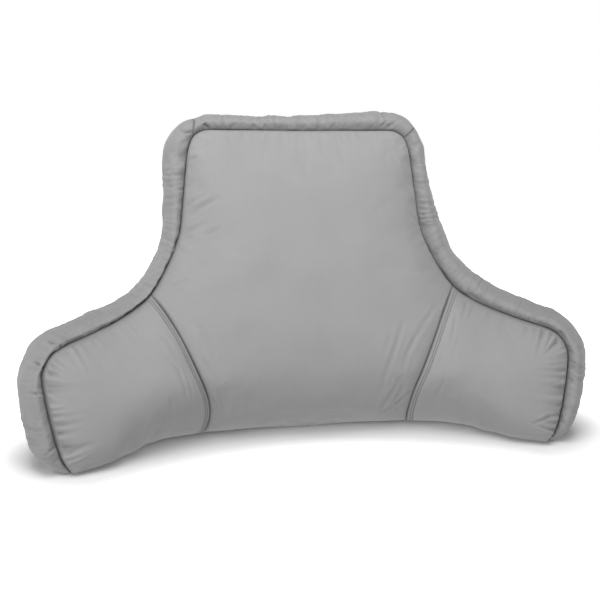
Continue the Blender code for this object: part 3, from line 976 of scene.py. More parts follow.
@dataclass
class FilledSection(SewnPiece):
    """Stuffed section of the front: the fine front cloth over a plain hidden body."""

    side: Union[Side, None] = None
    cells: tuple[int, int] = (144, 120)
    hidden_step: int = 8
    stuffing: Stuffing = Stuffing()
    folds: tuple[Fold, ...] = ()
    fill: float = 0.7
    groove: float = 0.0018
    groove_width: float = 0.0016
    wedge_depth: float = 0.0040
    wedge_width: float = 0.0026
    stitch_offsets: tuple[float, ...] = (0.0068, 0.0112)
    stitch_groove: float = 0.0014
    stitch_width: float = 0.0010
    pucker: float = 0.0010
    pucker_end: float = 0.0046
    pucker_reach: float = 0.0095
    # painted shade in the troughs of the puckers
    pucker_shade: float = 0.20
    steady_reach: float = 0.030
    level_reach: float = 0.010
    pucker_spacing: float = 0.0072
    seed: float = 3.0
    open_top: tuple[float, float] = (0.70, 0.25)
    open_foot: tuple[float, float] = (0.20, 0.18)
    end_start: float = 0.40
    end_blend: float = 0.05
    reach_mean: float = 1.25
    reach_wave: float = 0.8
    reach_spacing: float = 0.014
    # painted pucker shade: its share away from the wing ends, and its gain
    pucker_shade_rest: float = 0.25
    pucker_shade_gain: float = 1.6
    lump: float = 0.0016
    lump_spacing: float = 0.075
    lump_blend: float = 0.05
    edge_blend: float = 0.004
    steady_start: float = 0.002
    # painted shade along the crease, the seams and the rows of stitches: darkness and width
    crease_shade: tuple[float, float] = (0.9, 0.0014)
    seam_shade: tuple[float, float] = (0.7, 0.0012)
    stitch_shade: float = 0.55
    front: Points = field(default_factory=lambda: np.zeros((0, 0, 3)), repr=False)

    def flat(self, u: Points, w: Points) -> Points:
        """(across, height) grid of the section."""
        return centre_patch(u, w) if self.side is None else wing_patch(self.side, u, w)

    def settled(self, u: Points, w: Points) -> Points:
        """Shift that the filling gives the cloth, at shares of the columns and rows."""
        rows, columns = (cells // 2 for cells in self.cells)
        even = self.flat(np.linspace(0, 1, columns + 1), np.linspace(0, 1, rows + 1))
        grid = FORM.place(even, FORM.front_depth(even))
        return resample(self.stuffing.settle(grid, rim_mask(grid.shape)), w, u)

    def sewn_rows(self) -> tuple[float, ...]:
        """Distances from the crease of the rows of stitches, which only the wings have."""
        return () if self.side is None else self.stitch_offsets

    def relief(self, flat: Points, base: Points) -> Points:
        """Height of the sewn details over the smooth front.

        Args:
            flat: (across, height) by row and column.
            base: world points by row and column.

        Returns:
            Heights along the normal by row and column.
        """
        crease, climb = FORM.crease_distance(flat)
        share = climb / float(run_length(crease_seam())[-1])
        (top, top_blend), (foot, foot_blend) = self.open_top, self.open_foot
        open_part = ease((share - top) / top_blend) + ease((foot - share) / foot_blend)
        height = -self.groove * bell(crease, self.groove_width)
        height -= self.wedge_depth * open_part * bell(crease, self.wedge_width)
        for offset in self.sewn_rows():
            height -= self.stitch_groove * bell(crease - offset, self.stitch_width)
        seam = FORM.seam_distance(flat)
        place = line_distance(on_right(flat), outline_seam())[1]
        end = ease((np.abs(flat[..., 0]) - self.end_start) / self.end_blend)
        ripple = wavering(place, self.seed, self.pucker_spacing)
        uneven = wavering(place, self.seed + 4.0, self.reach_spacing)
        reach = self.pucker_reach * (self.reach_mean + self.reach_wave * uneven)
        ripple *= np.exp(-seam / reach) * ease(seam / self.edge_blend)
        height += (self.pucker + (self.pucker_end - self.pucker) * end) * ripple
        lumpy = lumps(base, self.seed, self.lump_spacing)
        height += self.lump * lumpy * ease(seam / self.lump_blend)
        raised, dark = fold_forms(self.folds, base, np.ones(flat.shape[:2], bool))
        # painted shade in the pucker troughs, stronger at the wing ends, and in the fold troughs
        trough_shade = self.pucker_shade * (self.pucker_shade_rest + (1.0 - self.pucker_shade_rest) * end)
        self.fold_shade = np.maximum(dark, trough_shade * np.clip(-self.pucker_shade_gain * ripple, 0.0, 1.0))
        return height + raised

    def build(self) -> None:
        """Work out the points, faces and seam shade."""
        rows, columns = self.cells
        u, w = close_ends(columns), close_ends(rows)
        flat = self.flat(u, w)
        base = FORM.place(flat, FORM.front_depth(flat))
        crease = FORM.crease_distance(flat)[0]
        seam = FORM.seam_distance(flat)
        steady = ease((crease - self.steady_start) / self.steady_reach)
        self.front = base + self.settled(u, w) * steady[..., None]
        ahead = FORM.place(flat, FORM.front_depth(flat) + 1.0) - base
        level = np.exp(-crease / self.level_reach)[..., None]
        normals = grid_normals(self.front) * (1.0 - level) + ahead * level
        normals /= np.linalg.norm(normals, axis=-1, keepdims=True)
        height = self.relief(flat, base)
        edge = ease(seam / self.edge_blend)
        self.front = self.front + normals * (height * edge)[..., None]
        kept, self.faces = closed_faces(rows, columns, self.hidden_step)
        back = FORM.place(flat, FORM.back_depth(flat)).reshape(-1, 3)[kept]
        self.points = np.concatenate([self.front.reshape(-1, 3), back])
        # painted shade: dark on the crease, the seams and the stitch rows; the hidden back is fully
        # shaded
        shade = self.fold_shade
        for distance, (dark, width) in ((crease, self.crease_shade), (seam, self.seam_shade)):
            shade = np.maximum(shade, dark * np.exp(-distance / width))
        for offset in self.sewn_rows():
            thread = bell(crease - offset, self.stitch_width)
            shade = np.maximum(shade, self.stitch_shade * thread)
        self.shade = np.concatenate([shade.ravel(), np.ones(len(kept))])

    def stitch_path(self, offset: float) -> tuple[Points, Points]:
        """Line on the cloth at a distance from the crease, and the normals along it."""
        rows, columns = self.cells
        flat = self.flat(close_ends(columns), close_ends(rows))
        crease = FORM.crease_distance(flat)[0]
        normals = grid_normals(self.front)
        path, facing = [], []
        for r in range(2, rows - 1):
            order = slice(None) if self.side is Side.RIGHT else slice(None, None, -1)
            distance = crease[r, order][: columns // 2]
            for source, target in ((self.front, path), (normals, facing)):
                line = source[r, order][: columns // 2]
                target.append([np.interp(offset, distance, line[:, k]) for k in range(3)])
        return np.array(path), np.array(facing)


@dataclass
class BorderRun(SewnPiece):
    """Stuffed strip between the front seam and the back seam."""

    side: Union[Side, None] = None
    cells: tuple[int, int] = (56, 960)
    stuffing: Stuffing = Stuffing(
        pressure=1.0, slack=0.022, keep_swell=0.05, gain=0.5, cap=0.0026, smooth_passes=10)
    folds: tuple[Fold, ...] = ()
    fill: float = 0.75
    girth: float = 0.100
    join_depth: float = 0.0009
    fan_cells: int = 400
    fan_passes: int = 60
    pucker: float = 0.0020
    wave: float = 0.0011
    lump: float = 0.0011
    crinkle: float = 0.0006
    crinkle_spacing: float = 0.0062
    # painted shade in the troughs of the crinkles
    crinkle_shade: float = 0.12
    seed: float = 11.0
    coarse: tuple[int, int] = (2, 4)
    trim_stations: int = 200
    front_spacing: float = 0.013
    back_spacing: float = 0.012
    pucker_reach: float = 0.013
    wave_spacing: float = 0.045
    lump_spacing: float = 0.030
    edge_blend: float = 0.003
    end_blend: float = 0.02
    crinkle_blend: float = 0.008
    crinkle_turn: float = 3.2
    crinkle_gain: float = 1.5
    strength_spacing: float = 0.05
    join_width: float = 0.004
    foot_depth: float = 0.0020
    foot_width: float = 0.005
    # painted shade along the seams and at the joins: darkness and width
    seam_shade: tuple[float, float] = (0.75, 0.0018)
    join_shade: tuple[float, float] = (0.6, 0.0016)

    def stations(self, shares: Points) -> tuple[Points, Points, Points]:
        """Stations along the run.

        Args:
            shares: shares of its length.

        Returns:
            (across, height) on the seam, the outward direction there, and the swell.
        """
        if self.side is None:
            right = smooth_line(SEAM_ROWS, TOP_CORNER_ROW, MIDDLE_ROW)
            left = right * np.array([-1.0, 1.0, 1.0, 1.0])
            out_right = outward(right)
            out_left = swung(out_right, TOP_CORNER_ROW, MIDDLE_ROW) * np.array([-1.0, 1.0])
            line = np.concatenate([left, right[-2::-1]])
            swell = np.concatenate([left[:, 2], right[-2::-1, 3]])
            out = np.concatenate([out_left, out_right[-2::-1]])
        else:
            line = smooth_line(SEAM_ROWS, FOOT_ROW, TOP_CORNER_ROW)
            swell = line[:, 2] if self.side is Side.LEFT else line[:, 3]
            out = outward(line)
            level = 1.0 - ease((line[:, 1] - PIECE_FLOOR) / FORM.foot_blend)
            level = level * (line[:, 0] > SEAM_ROWS[WING_CORNER_ROW][0] - FORM.foot_blend)
            out = out * (1.0 - level)[:, None] + np.stack([level, 0.0 * level], axis=1)
            if self.side is Side.LEFT:
                out = swung(out, FOOT_ROW, TOP_CORNER_ROW)
            flip = np.array([self.side.value, 1.0])
            line, out = line[:, :2] * flip, out * flip
        table = np.concatenate([line[:, :2], out, swell[:, None]], axis=1)
        if self.side is None:
            table = along(table, np.linspace(0.0, 1.0, self.fan_cells + 1))
            for _ in range(self.fan_passes):
                around = table[:-2, 2:] + 2.0 * table[1:-1, 2:] + table[2:, 2:]
                table[1:-1, 2:] = around / 4.0
        rows = along(table, shares)
        out = rows[:, 2:4] / np.linalg.norm(rows[:, 2:4], axis=1, keepdims=True)
        return rows[:, :2], out, rows[:, 4]

    def surface(self, shares: Points, turns: Points) -> Points:
        """World points of the smooth outer cloth, by turn of the section and share of the run."""
        seam, out, swell = self.stations(shares)
        depth, share = FORM.border_section(turns)
        bulge = FORM.border_edge + (swell[None, :] - FORM.border_edge) * share[:, None]
        flat = seam[None] + out[None] * bulge[..., None]
        return FORM.place(flat, depth[:, None] + FORM.border_roll(turns[:, None], seam[None, :, 1]))

    def crinkles(self, length: Points, turns: Points) -> Points:
        """Small irregular creases across the strip, from about -1 to 1, by row and column."""
        rows = []
        for turn in turns:
            slant = 0.9 * math.sin(3.0 * turn)
            places = length / self.crinkle_spacing + slant
            spots = (Vector((at, self.crinkle_turn * turn, self.seed)) for at in places)
            rows.append([2.0 * noise.noise(spot) for spot in spots])
        uneven = wavering(length, self.seed + 1.0, self.strength_spacing)
        strength = np.clip(0.75 + 0.7 * uneven, 0.25, 1.3)
        return np.array(rows) * strength[None, :]

    def relief(self, base: Points, shares: Points, turns: Points) -> Points:
        """Height of puckers, joins and folds over the smooth strip, by row and column."""
        length = run_length(self.stations(shares)[0])
        to_end = length[-1] - length
        from_seam = self.from_seam(turns)[:, None]
        near_seam = ease(from_seam / self.edge_blend)
        front = turns[:, None] < 0.5
        ripple = wavering(length, self.seed, self.front_spacing)[None, :]
        other = wavering(length, self.seed + 7.0, self.back_spacing)[None, :]
        height = self.pucker * np.where(front, ripple, other)
        height = height * np.exp(-from_seam / self.pucker_reach) * near_seam
        waves = wavering(length, self.seed + 3.0, self.wave_spacing)[None, :]
        height += self.wave * waves * np.sin(np.pi * turns)[:, None]
        height += self.lump * lumps(base, self.seed, self.lump_spacing)
        steady = ease(np.minimum(length, to_end) / self.end_blend)[None, :]
        fine = self.crinkles(length, turns)
        fine = fine * np.minimum(from_seam / self.crinkle_blend, 1.0) * steady
        height = height * steady + self.crinkle * fine
        for from_end in (length, to_end) if self.side is None else (to_end,):
            height -= self.join_depth * np.exp(-from_end / self.join_width)[None, :]
        if self.side is not None:
            height -= self.foot_depth * np.exp(-length / self.foot_width)[None, :]
        raised, dark = fold_forms(self.folds, base, np.broadcast_to(front, base.shape[:2]))
        # painted shade in the crinkle troughs and the fold troughs
        hollows = np.clip(-self.crinkle_gain * fine, 0.0, 1.0)
        self.fold_shade = np.maximum(dark, self.crinkle_shade * hollows)
        return (height + raised) * near_seam

    def from_seam(self, turns: Points) -> Points:
        """Way round the strip from each turn of its section to the nearer seam."""
        return (0.5 - np.abs(0.5 - turns)) * self.girth

    def build(self) -> None:
        """Work out the points, faces and seam shade."""
        rows, columns = self.cells
        rough = self.stations(np.linspace(0, 1, self.trim_stations))[0]
        trim = 0.5 * SEAM_GAP / float(run_length(rough)[-1])
        shares = np.linspace(trim if self.side is None else 0.0, 1.0 - trim, columns + 1)
        turns = np.linspace(0.0, 1.0, rows + 1)
        seam, out, _ = self.stations(shares)
        total = float(run_length(seam)[-1])
        base = self.surface(shares, turns)
        even = self.surface(shares[::self.coarse[1]], turns[::self.coarse[0]])
        shift = self.stuffing.settle(even, rim_mask(even.shape))
        shift = resample(shift, turns, np.linspace(0.0, 1.0, columns + 1))
        steady = ease(np.minimum(shares, 1.0 - shares) * total / self.end_blend)
        cloth = base + shift * steady[None, :, None]
        normals = grid_normals(cloth)
        middle = normals[rows // 2, columns // 2]
        sense = np.sign(middle[0] * out[columns // 2, 0] + middle[2] * out[columns // 2, 1])
        cloth = cloth + sense * normals * self.relief(base, shares, turns)[..., None]
        edges = [FORM.place(seam, np.full(columns + 1, depth))[None]
                 for depth in (FORM.seam_depth, -FORM.back_seam)]
        grid = np.concatenate([edges[0], cloth, edges[1]])
        index = np.arange(grid.shape[0] * grid.shape[1]).reshape(grid.shape[:2])
        self.faces = list(quad_faces(index)) + list(quad_faces(index[[-1, 0]]))
        self.faces += [tuple(index[:, 0].tolist()), tuple(index[::-1, -1].tolist())]
        self.points = grid.reshape(-1, 3)
        # painted shade along both seams and at the joins; the rows on the seams are fully shaded
        (seam_dark, seam_width), (join_dark, join_width) = self.seam_shade, self.join_shade
        near_join = np.exp(-(1.0 - shares) * total / join_width)
        if self.side is None:
            near_join = np.maximum(near_join, near_join[::-1])
        near_seam = np.exp(-self.from_seam(turns) / seam_width)
        shade = np.maximum(seam_dark * near_seam[:, None], join_dark * near_join[None, :])
        shade = np.maximum(shade, self.fold_shade)
        self.shade = np.concatenate([np.ones(columns + 1), shade.ravel(), np.ones(columns + 1)])


@dataclass
class BackPanel(SewnPiece):
    """Plain cloth over the back, sewn to the border all round."""

    cell: float = 0.005
    thickness: float = 0.0015
    rings: tuple[float, ...] = (0.0012, 0.0028, 0.0052)
    ripple: float = 0.0016
    ripple_reach: float = 0.030
    ripple_spacing: float = 0.011
    ripple_blend: float = 0.008
    lump: float = 0.0022
    lump_spacing: float = 0.085
    lump_blend: float = 0.05
    clear_cells: float = 0.6
    # painted shade along the seam: darkness and width
    edge_shade: tuple[float, float] = (0.85, 0.003)
    seed: float = 21.0

    def ring(self, inset: float) -> Points:
        """Closed line of flat points inside the outline seam and the base seam."""
        seam = moved(smooth_line(SEAM_ROWS, FOOT_ROW, MIDDLE_ROW), inset)
        seam[0] = (seam[0, 0], PIECE_FLOOR)
        seam = seam[seam[:, 1] >= PIECE_FLOOR + inset * 0.999]
        seam[-1, 0] = 0.0
        count = int(run_length(seam)[-1] / self.cell)
        right = along(seam, np.linspace(0, 1, count + 1))
        foot, width = right[0], 2.0 * right[0, 0]
        steps = int(width / self.cell)
        base = [(-foot[0] + width * i / steps, foot[1]) for i in range(1, steps)]
        return np.concatenate([right, mirrored(right)[-2::-1], np.array(base)])

    def flat_cloth(self) -> tuple[Points, list[tuple[int, ...]]]:
        """Cut the cloth into small triangles.

        Returns:
            Flat points and triangles.
        """
        outline = self.ring(0.0)
        spots = [outline] + [self.ring(inset) for inset in self.rings]
        across = np.arange(-0.48, 0.48, self.cell)
        height = np.arange(0.0, 0.52, self.cell * math.sqrt(0.75))
        grid = np.stack(np.meshgrid(across, height), axis=-1)
        grid[1::2, :, 0] += self.cell / 2
        inside = self.inside(grid.reshape(-1, 2), outline)
        clear = self.rings[-1] + self.clear_cells * self.cell
        far = FORM.seam_distance(grid.reshape(-1, 2)) > clear
        spots.append(grid.reshape(-1, 2)[inside & far])
        points = [Vector(spot) for spot in np.concatenate(spots)]
        loop = [list(range(len(outline)))]
        found = delaunay_2d_cdt(points, [], loop, 1, MERGE_DISTANCE / 10)
        return np.array([tuple(spot) for spot in found[0]]), [tuple(face) for face in found[2]]

    @staticmethod
    def inside(spots: Points, outline: Points) -> Points:
        """True for flat points inside a closed line."""
        odd = np.zeros(len(spots), bool)
        for a, b in zip(outline, np.roll(outline, -1, axis=0)):
            crosses = (a[1] > spots[:, 1]) != (b[1] > spots[:, 1])
            if a[1] == b[1]:
                continue
            edge = a[0] + (spots[:, 1] - a[1]) * (b[0] - a[0]) / (b[1] - a[1])
            odd ^= crosses & (spots[:, 0] < edge)
        return odd

    def build(self) -> None:
        """Work out the points, faces and seam shade."""
        flat, triangles = self.flat_cloth()
        seam = FORM.seam_distance(flat)
        place = line_distance(on_right(flat), outline_seam())[1]
        waves = wavering(np.where(flat[:, 0] < 0, -place, place), self.seed, self.ripple_spacing)
        raised = self.ripple * waves * np.exp(-seam / self.ripple_reach)
        raised *= ease(seam / self.ripple_blend)
        spots = np.concatenate([flat, 0.0 * flat[:, :1]], axis=1)
        lumpy = lumps(spots, self.seed, self.lump_spacing)
        raised += self.lump * lumpy * ease(seam / self.lump_blend)
        depth = FORM.back_depth(flat) - SEAM_GAP - BACK_THICKNESS - raised
        rear = FORM.place(flat, depth)
        mesh = bpy.data.meshes.new("back_cloth")
        mesh.from_pydata(rear.tolist(), [], triangles)
        facing = np.zeros(len(rear) * 3, np.float32)
        mesh.vertex_normals.foreach_get("vector", facing)
        facing = facing.reshape(-1, 3)
        bpy.data.meshes.remove(mesh)
        if facing[:, 1].mean() < 0.0:
            facing = -facing
        inner = rear - facing * self.thickness
        count = len(rear)
        self.faces = list(triangles) + [tuple(v + count for v in face[::-1]) for face in triangles]
        edges: dict[tuple[int, int], int] = {}
        for face in triangles:
            for a, b in zip(face, face[1:] + face[:1]):
                edges[a, b] = edges.get((a, b), 0) + 1
        rims = [(a, b) for a, b in edges if (b, a) not in edges]
        self.faces += [(b, a, a + count, b + count) for a, b in rims]
        self.points = np.concatenate([rear, inner])
        # painted shade, darker towards the seam
        dark, width = self.edge_shade
        self.shade = np.tile(dark * np.exp(-seam / width), 2)


@dataclass
class BasePanel(SewnPiece):
    """Flat cloth under the filling and the feet of the border."""

    cells: int = 120
    foot_cells: int = 14
    depth_cells: int = 24
    edge_turn: float = 0.0008
    draw_in: float = 0.0040
    first_step: float = 0.95
    middle: float = 0.5 * (FORM.seam_depth - FORM.back_seam)

    def stations(self) -> list[tuple[float, float]]:
        """(across, share of the way to the edges) of each station, from left to right."""
        foot, _, swell_left, swell_right = SEAM_ROWS[FOOT_ROW]
        even = [(foot * (2.0 * i / self.cells - 1.0), 1.0) for i in range(self.cells + 1)]
        left, right = [], []
        for i in range(self.foot_cells):
            turn = 0.5 * (i + self.first_step) / self.foot_cells
            depth, share = (float(value) for value in FORM.border_section(np.array(turn)))
            part = (depth - self.middle) / (FORM.seam_depth - self.middle)
            right.append((foot + (swell_right - self.draw_in) * share, part))
            left.append((-foot - (swell_left - self.draw_in) * share, part))
        return left[::-1] + even + right

    def outline(self) -> tuple[Points, Points, Points]:
        """Across values, and the depth of the front and of the rear edge at each."""
        across, part = np.array(self.stations()).T
        rear = self.draw_in - FORM.back_seam - self.middle
        drawn = eased_table(BASE_ROWS, np.abs(across))
        front = FORM.seam_depth - self.draw_in - drawn - self.middle
        return across, self.middle + front * part, self.middle + rear * part

    def build(self) -> None:
        """Work out the points, faces and seam shade."""
        across, front, rear = self.outline()
        share = np.linspace(0.0, 1.0, self.depth_cells + 1)[:, None]
        narrowed = 1.0 - self.edge_turn / FORM.seam_depth
        grids = []
        for height in (0.0, BASE_THICKNESS):
            depth = rear + (front - rear) * (0.5 + (share - 0.5) * narrowed)
            flat = np.stack(np.broadcast_arrays(across, height + 0.0 * depth), axis=-1)
            grids.append(FORM.place(flat, depth))
        low, high = grids
        index = np.arange(low.shape[0] * low.shape[1]).reshape(low.shape[:2])
        upper = index + index.size
        self.faces = list(quad_faces(index[::-1])) + list(quad_faces(upper))
        sides = (index[0, :-1], index[:-1, -1], index[-1, :0:-1], index[:0:-1, 0])
        rim = [number for part in sides for number in part]
        for a, b in zip(rim, rim[1:] + rim[:1]):
            self.faces.append((int(a), int(b), int(b) + index.size, int(a) + index.size))
        self.points = np.concatenate([low.reshape(-1, 3), high.reshape(-1, 3)])
        self.shade = np.zeros(len(self.points))


@dataclass
class TopStitching(SewnPiece):
    """Rows of stitches beside a crease, each a short loop of thread that dips into the cloth."""

    wing: Union[FilledSection, None] = None
    pitch: float = 0.0034
    stitch: float = 0.0027
    radius: float = 0.00042
    rings: int = 6
    sides: int = 6
    end_round: float = 0.96
    lift: float = 0.9
    dip: float = 1.5

    def build(self) -> None:
        """Work out the points and faces of all stitches."""
        t = np.linspace(-1.0, 1.0, self.rings)
        angle = np.linspace(0.0, 2.0 * np.pi, self.sides, endpoint=False)
        thick = self.radius * np.sqrt(1.0 - (self.end_round * t) ** 4)
        lift = self.radius * (self.lift - self.dip * t ** 2)
        half = 0.5 * self.stitch
        points, faces = [], []
        for offset in self.wing.stitch_offsets:
            path, facing = self.wing.stitch_path(offset)
            steps = np.linalg.norm(np.diff(path, axis=0), axis=1)
            length = np.concatenate([[0.0], np.cumsum(steps)])
            for number in range(int(length[-1] / self.pitch)):
                middle = (number + 0.5) * self.pitch
                ends = (middle - half, middle, middle + half)
                a, centre, b = (self.read(path, length, end) for end in ends)
                up = self.read(facing, length, middle)
                up /= np.linalg.norm(up)
                ahead = (b - a) / np.linalg.norm(b - a)
                aside = np.cross(ahead, up)
                spine = centre + half * t[:, None] * ahead + lift[:, None] * up
                ring = np.cos(angle)[None, :, None] * aside + np.sin(angle)[None, :, None] * up
                first = len(points) * self.rings * self.sides
                points.append((spine[:, None] + thick[:, None, None] * ring).reshape(-1, 3))
                index = first + np.arange(self.rings * self.sides).reshape(self.rings, self.sides)
                index = np.concatenate([index, index[:, :1]], axis=1)
                faces += quad_faces(index)
                faces += [tuple(index[0, :-1].tolist()), tuple(index[-1, :0:-1].tolist())]
        self.points, self.faces = np.concatenate(points), faces

    @staticmethod
    def read(rows: Points, length: Points, place: float) -> Points:
        """Row of a line's table at a length along the line."""
        return np.array([np.interp(place, length, column) for column in rows.T])


@dataclass(frozen=True)
class Studio:
    """Plain pale floor, pale surroundings and soft studio light."""

    floor_size: float = 60.0
    floor_colour: tuple[float, float, float, float] = (0.98, 0.98, 0.98, 1.0)
    foot_middle: float = 0.05
    foot_bend: float = 0.95
    foot_half: float = 0.35
    floor_glow: tuple[float, float] = (0.10, 0.25)
    ground_strength: float = 0.60
    backdrop_strength: float = 1.0
    zenith_strength: float = 0.04
    ground_ramp: tuple[float, float] = (-0.40, -0.15)
    zenith_ramp: tuple[float, float] = (0.20, 0.45)
    aim: tuple[float, float, float] = (0.0, 0.0, 0.25)
    floor_roughness: float = 0.9
    lamps: tuple[tuple[str, tuple[float, float, float], float, float], ...] = (
        ("top_lamp", (-0.2, -0.7, 2.6), 2.0, 23.0),
        ("near_lamp", (-0.1, -0.75, 1.35), 1.2, 11.6),
        ("left_lamp", (-2.3, -1.75, 0.9), 1.5, 22.0),
    )

    def lamp(self, name: str, place: tuple[float, float, float], size: float, power: float) -> None:
        """Soft square lamp that faces the cushion."""
        data = bpy.data.lights.new(name, "AREA")
        data.shape = "SQUARE"
        data.size = size
        data.energy = power
        lamp = linked(name, data)
        lamp.location = place
        away = Vector(self.aim) - Vector(place)
        lamp.rotation_euler = away.to_track_quat("-Z", "Y").to_euler()

    def floor(self) -> None:
        """Make the floor, which glows white a little way off the cushion."""
        half = self.floor_size / 2.0
        mesh = bpy.data.meshes.new("floor")
        corners = [(-half, -half, 0.0), (half, -half, 0.0), (half, half, 0.0), (-half, half, 0.0)]
        mesh.from_pydata(corners, [], [(0, 1, 2, 3)])
        paint = Painter(bpy.data.materials.new("studio_floor"))
        where = paint.places("Object")
        across, ahead = paint.part(where, "X"), paint.part(where, "Y")
        side = paint.math("ABSOLUTE", across)
        past = paint.math("MAXIMUM", side - self.foot_half, 0.0)
        held = paint.math("MINIMUM", side, self.foot_half)
        aside = ahead - self.foot_middle + held * held * self.foot_bend
        away = paint.math("SQRT", aside * aside + past * past)
        glow = paint.ramp(away, *self.floor_glow, 0.0, 1.0)
        paint.finish({
            "Base Color": self.floor_colour,
            "Roughness": self.floor_roughness,
            "Emission Color": paint.mix(glow, (0.0, 0.0, 0.0, 1.0), (1.0, 1.0, 1.0, 1.0)),
            "Emission Strength": 1.0,
        })
        paint.owner.cycles.emission_sampling = "NONE"
        mesh.materials.append(paint.owner)
        floor = linked("floor", mesh)
        floor.visible_diffuse = floor.visible_shadow = False

    def surroundings(self) -> None:
        """Make the world: white at eye level, duller from below and almost dark above."""
        sky = Painter(bpy.data.worlds.new("studio"), "Background")
        height = sky.part(sky.places("Generated"), "Z")
        backdrop = self.backdrop_strength
        low = sky.ramp(height, *self.ground_ramp, self.ground_strength, backdrop)
        high = sky.ramp(height, *self.zenith_ramp, 0.0, backdrop - self.zenith_strength)
        sky.finish({"Strength": low - high, "Color": (1.0, 1.0, 1.0, 1.0)})
        bpy.context.scene.world = sky.owner

    def build(self) -> None:
        """Make the floor, the surroundings and the lamps."""
        self.floor()
        self.surroundings()
        bpy.context.scene.view_settings.view_transform = "Standard"
        for name, place, size, power in self.lamps:
            self.lamp(name, place, size, power)


CENTRE_FOLDS = (
    Fold(((190, 215), (203, 206), (221, 197)), -0.0030, 0.0047, 0.12),
    Fold(((186, 233), (207, 223)), -0.0027, 0.0043, 0.12),
    Fold(((205, 234), (222, 227)), -0.0019, 0.0043, 0.10),
    Fold(((184, 163), (202, 156)), -0.0022, 0.0040, 0.10),
    Fold(((190, 203), (206, 195)), -0.0018, 0.0036, 0.06),
    Fold(((172, 286), (190, 279)), -0.0018, 0.0040, 0.06),
    Fold(((410, 214), (425, 226)), -0.0018, 0.0043, 0.06),
    Fold(((195, 345), (210, 370), (220, 395), (227, 420)), -0.0021, 0.0042, 0.07, 0.0),
    Fold(((184, 314), (200, 327), (211, 347), (222, 380)), -0.0013, 0.0050, 0.05, 0.0),
    Fold(((207, 390), (217, 407), (225, 422)), -0.0021, 0.0036, 0.07, 0.0),
    Fold(((200, 355), (208, 378)), -0.0014, 0.0036, 0.05, 0.0),
    Fold(((440, 297), (422, 327), (407, 354)), -0.0013, 0.0046, 0.04, 0.0),
    Fold(((420, 327), (406, 354), (402, 374)), -0.0017, 0.0042, 0.05, 0.0),
    Fold(((407, 312), (397, 340), (385, 375), (380, 395)), -0.0019, 0.0046, 0.06, 0.0),
    Fold(((403, 374), (390, 397), (374, 416)), -0.0024, 0.0044, 0.08, 0.0),
    Fold(((411, 391), (396, 405), (378, 414)), -0.0028, 0.0042, 0.09, 0.2),
    Fold(((393, 330), (383, 355)), -0.0013, 0.0046, 0.04, 0.0),
)
WING_LEFT_FOLDS = (
    Fold(((50, 353), (64, 352)), -0.0020, 0.0024, 0.14),
    Fold(((44, 371), (60, 376)), -0.0026, 0.0026, 0.16),
    Fold(((44, 390), (60, 399)), -0.0030, 0.0027, 0.18),
    Fold(((48, 410), (66, 408)), -0.0026, 0.0025, 0.16),
    Fold(((52, 428), (72, 416)), -0.0026, 0.0026, 0.16),
    Fold(((58, 454), (70, 453), (86, 446)), -0.0030, 0.0028, 0.34, 0.6),
    Fold(((63, 463), (80, 462)), -0.0020, 0.0024, 0.12),
    Fold(((155, 347), (178, 370), (186, 390), (185, 424)), -0.0019, 0.0036, 0.07, 0.0),
    Fold(((152, 327), (168, 342), (180, 365)), -0.0013, 0.0036, 0.05, 0.0),
    Fold(((168, 380), (172, 405), (171, 424)), -0.0015, 0.0034, 0.05, 0.0),
    Fold(((182, 364), (191, 390), (192, 418)), -0.0018, 0.0030, 0.06, 0.0),
    Fold(((176, 402), (179, 427)), -0.0015, 0.0030, 0.05, 0.0),
)
WING_RIGHT_FOLDS = (
    Fold(((558, 333), (546, 336)), -0.0024, 0.0026, 0.18),
    Fold(((564, 348), (549, 350)), -0.0026, 0.0026, 0.15),
    Fold(((565, 362), (549, 366)), -0.0026, 0.0026, 0.15),
    Fold(((564, 378), (548, 385)), -0.0024, 0.0026, 0.13),
    Fold(((562, 396), (548, 396)), -0.0018, 0.0026, 0.10),
    Fold(((561, 414), (547, 418), (532, 424)), -0.0042, 0.0030, 0.50, 0.7),
    Fold(((555, 427), (534, 431)), -0.0024, 0.0028, 0.10),
    Fold(((457, 311), (454, 330), (449, 347)), -0.0018, 0.0034, 0.06, 0.0),
    Fold(((443, 350), (436, 373)), -0.0020, 0.0032, 0.07, 0.0),
    Fold(((448, 368), (442, 387), (435, 397)), -0.0018, 0.0034, 0.06, 0.0),
    Fold(((467, 302), (462, 320)), -0.0015, 0.0034, 0.05, 0.0),
    Fold(((460, 330), (452, 362)), -0.0011, 0.0038, 0.04, 0.0),
    Fold(((499, 318), (502, 333)), -0.0013, 0.0036, 0.05, 0.0),
)
BAND_LEFT_FOLDS = (
    Fold(((191, 132), (185, 132), (179, 130)), -0.0028, 0.0026, 0.75, 0.7),
    Fold(((184, 162), (172, 162)), -0.0020, 0.0022, 0.20),
    Fold(((182, 172), (168, 169)), -0.0022, 0.0024, 0.24),
    Fold(((182, 190), (170, 187)), -0.0018, 0.0024, 0.16),
    Fold(((184, 208), (171, 206)), -0.0018, 0.0024, 0.16),
    Fold(((184, 222), (171, 215)), -0.0022, 0.0026, 0.20),
    Fold(((178, 240), (166, 234)), -0.0020, 0.0024, 0.18),
    Fold(((168, 268), (157, 258)), -0.0020, 0.0024, 0.18),
    Fold(((148, 297), (140, 285)), -0.0018, 0.0024, 0.14),
    Fold(((112, 322), (104, 309)), -0.0018, 0.0024, 0.14),
    Fold(((84, 334), (77, 322)), -0.0018, 0.0024, 0.14),
    Fold(((60, 346), (53, 344), (47, 341)), -0.0030, 0.0026, 0.85, 0.6),
    Fold(((43, 367), (38, 364), (33, 361)), -0.0028, 0.0025, 0.75, 0.6),
    Fold(((43, 394), (36, 394), (29, 392)), -0.0026, 0.0023, 0.65, 0.6),
    Fold(((46, 414), (31, 412)), -0.0018, 0.0022, 0.16),
    Fold(((50, 431), (36, 431)), -0.0018, 0.0022, 0.16),
    Fold(((55, 447), (50, 451), (45, 456)), -0.0028, 0.0024, 0.65, 0.6),
)
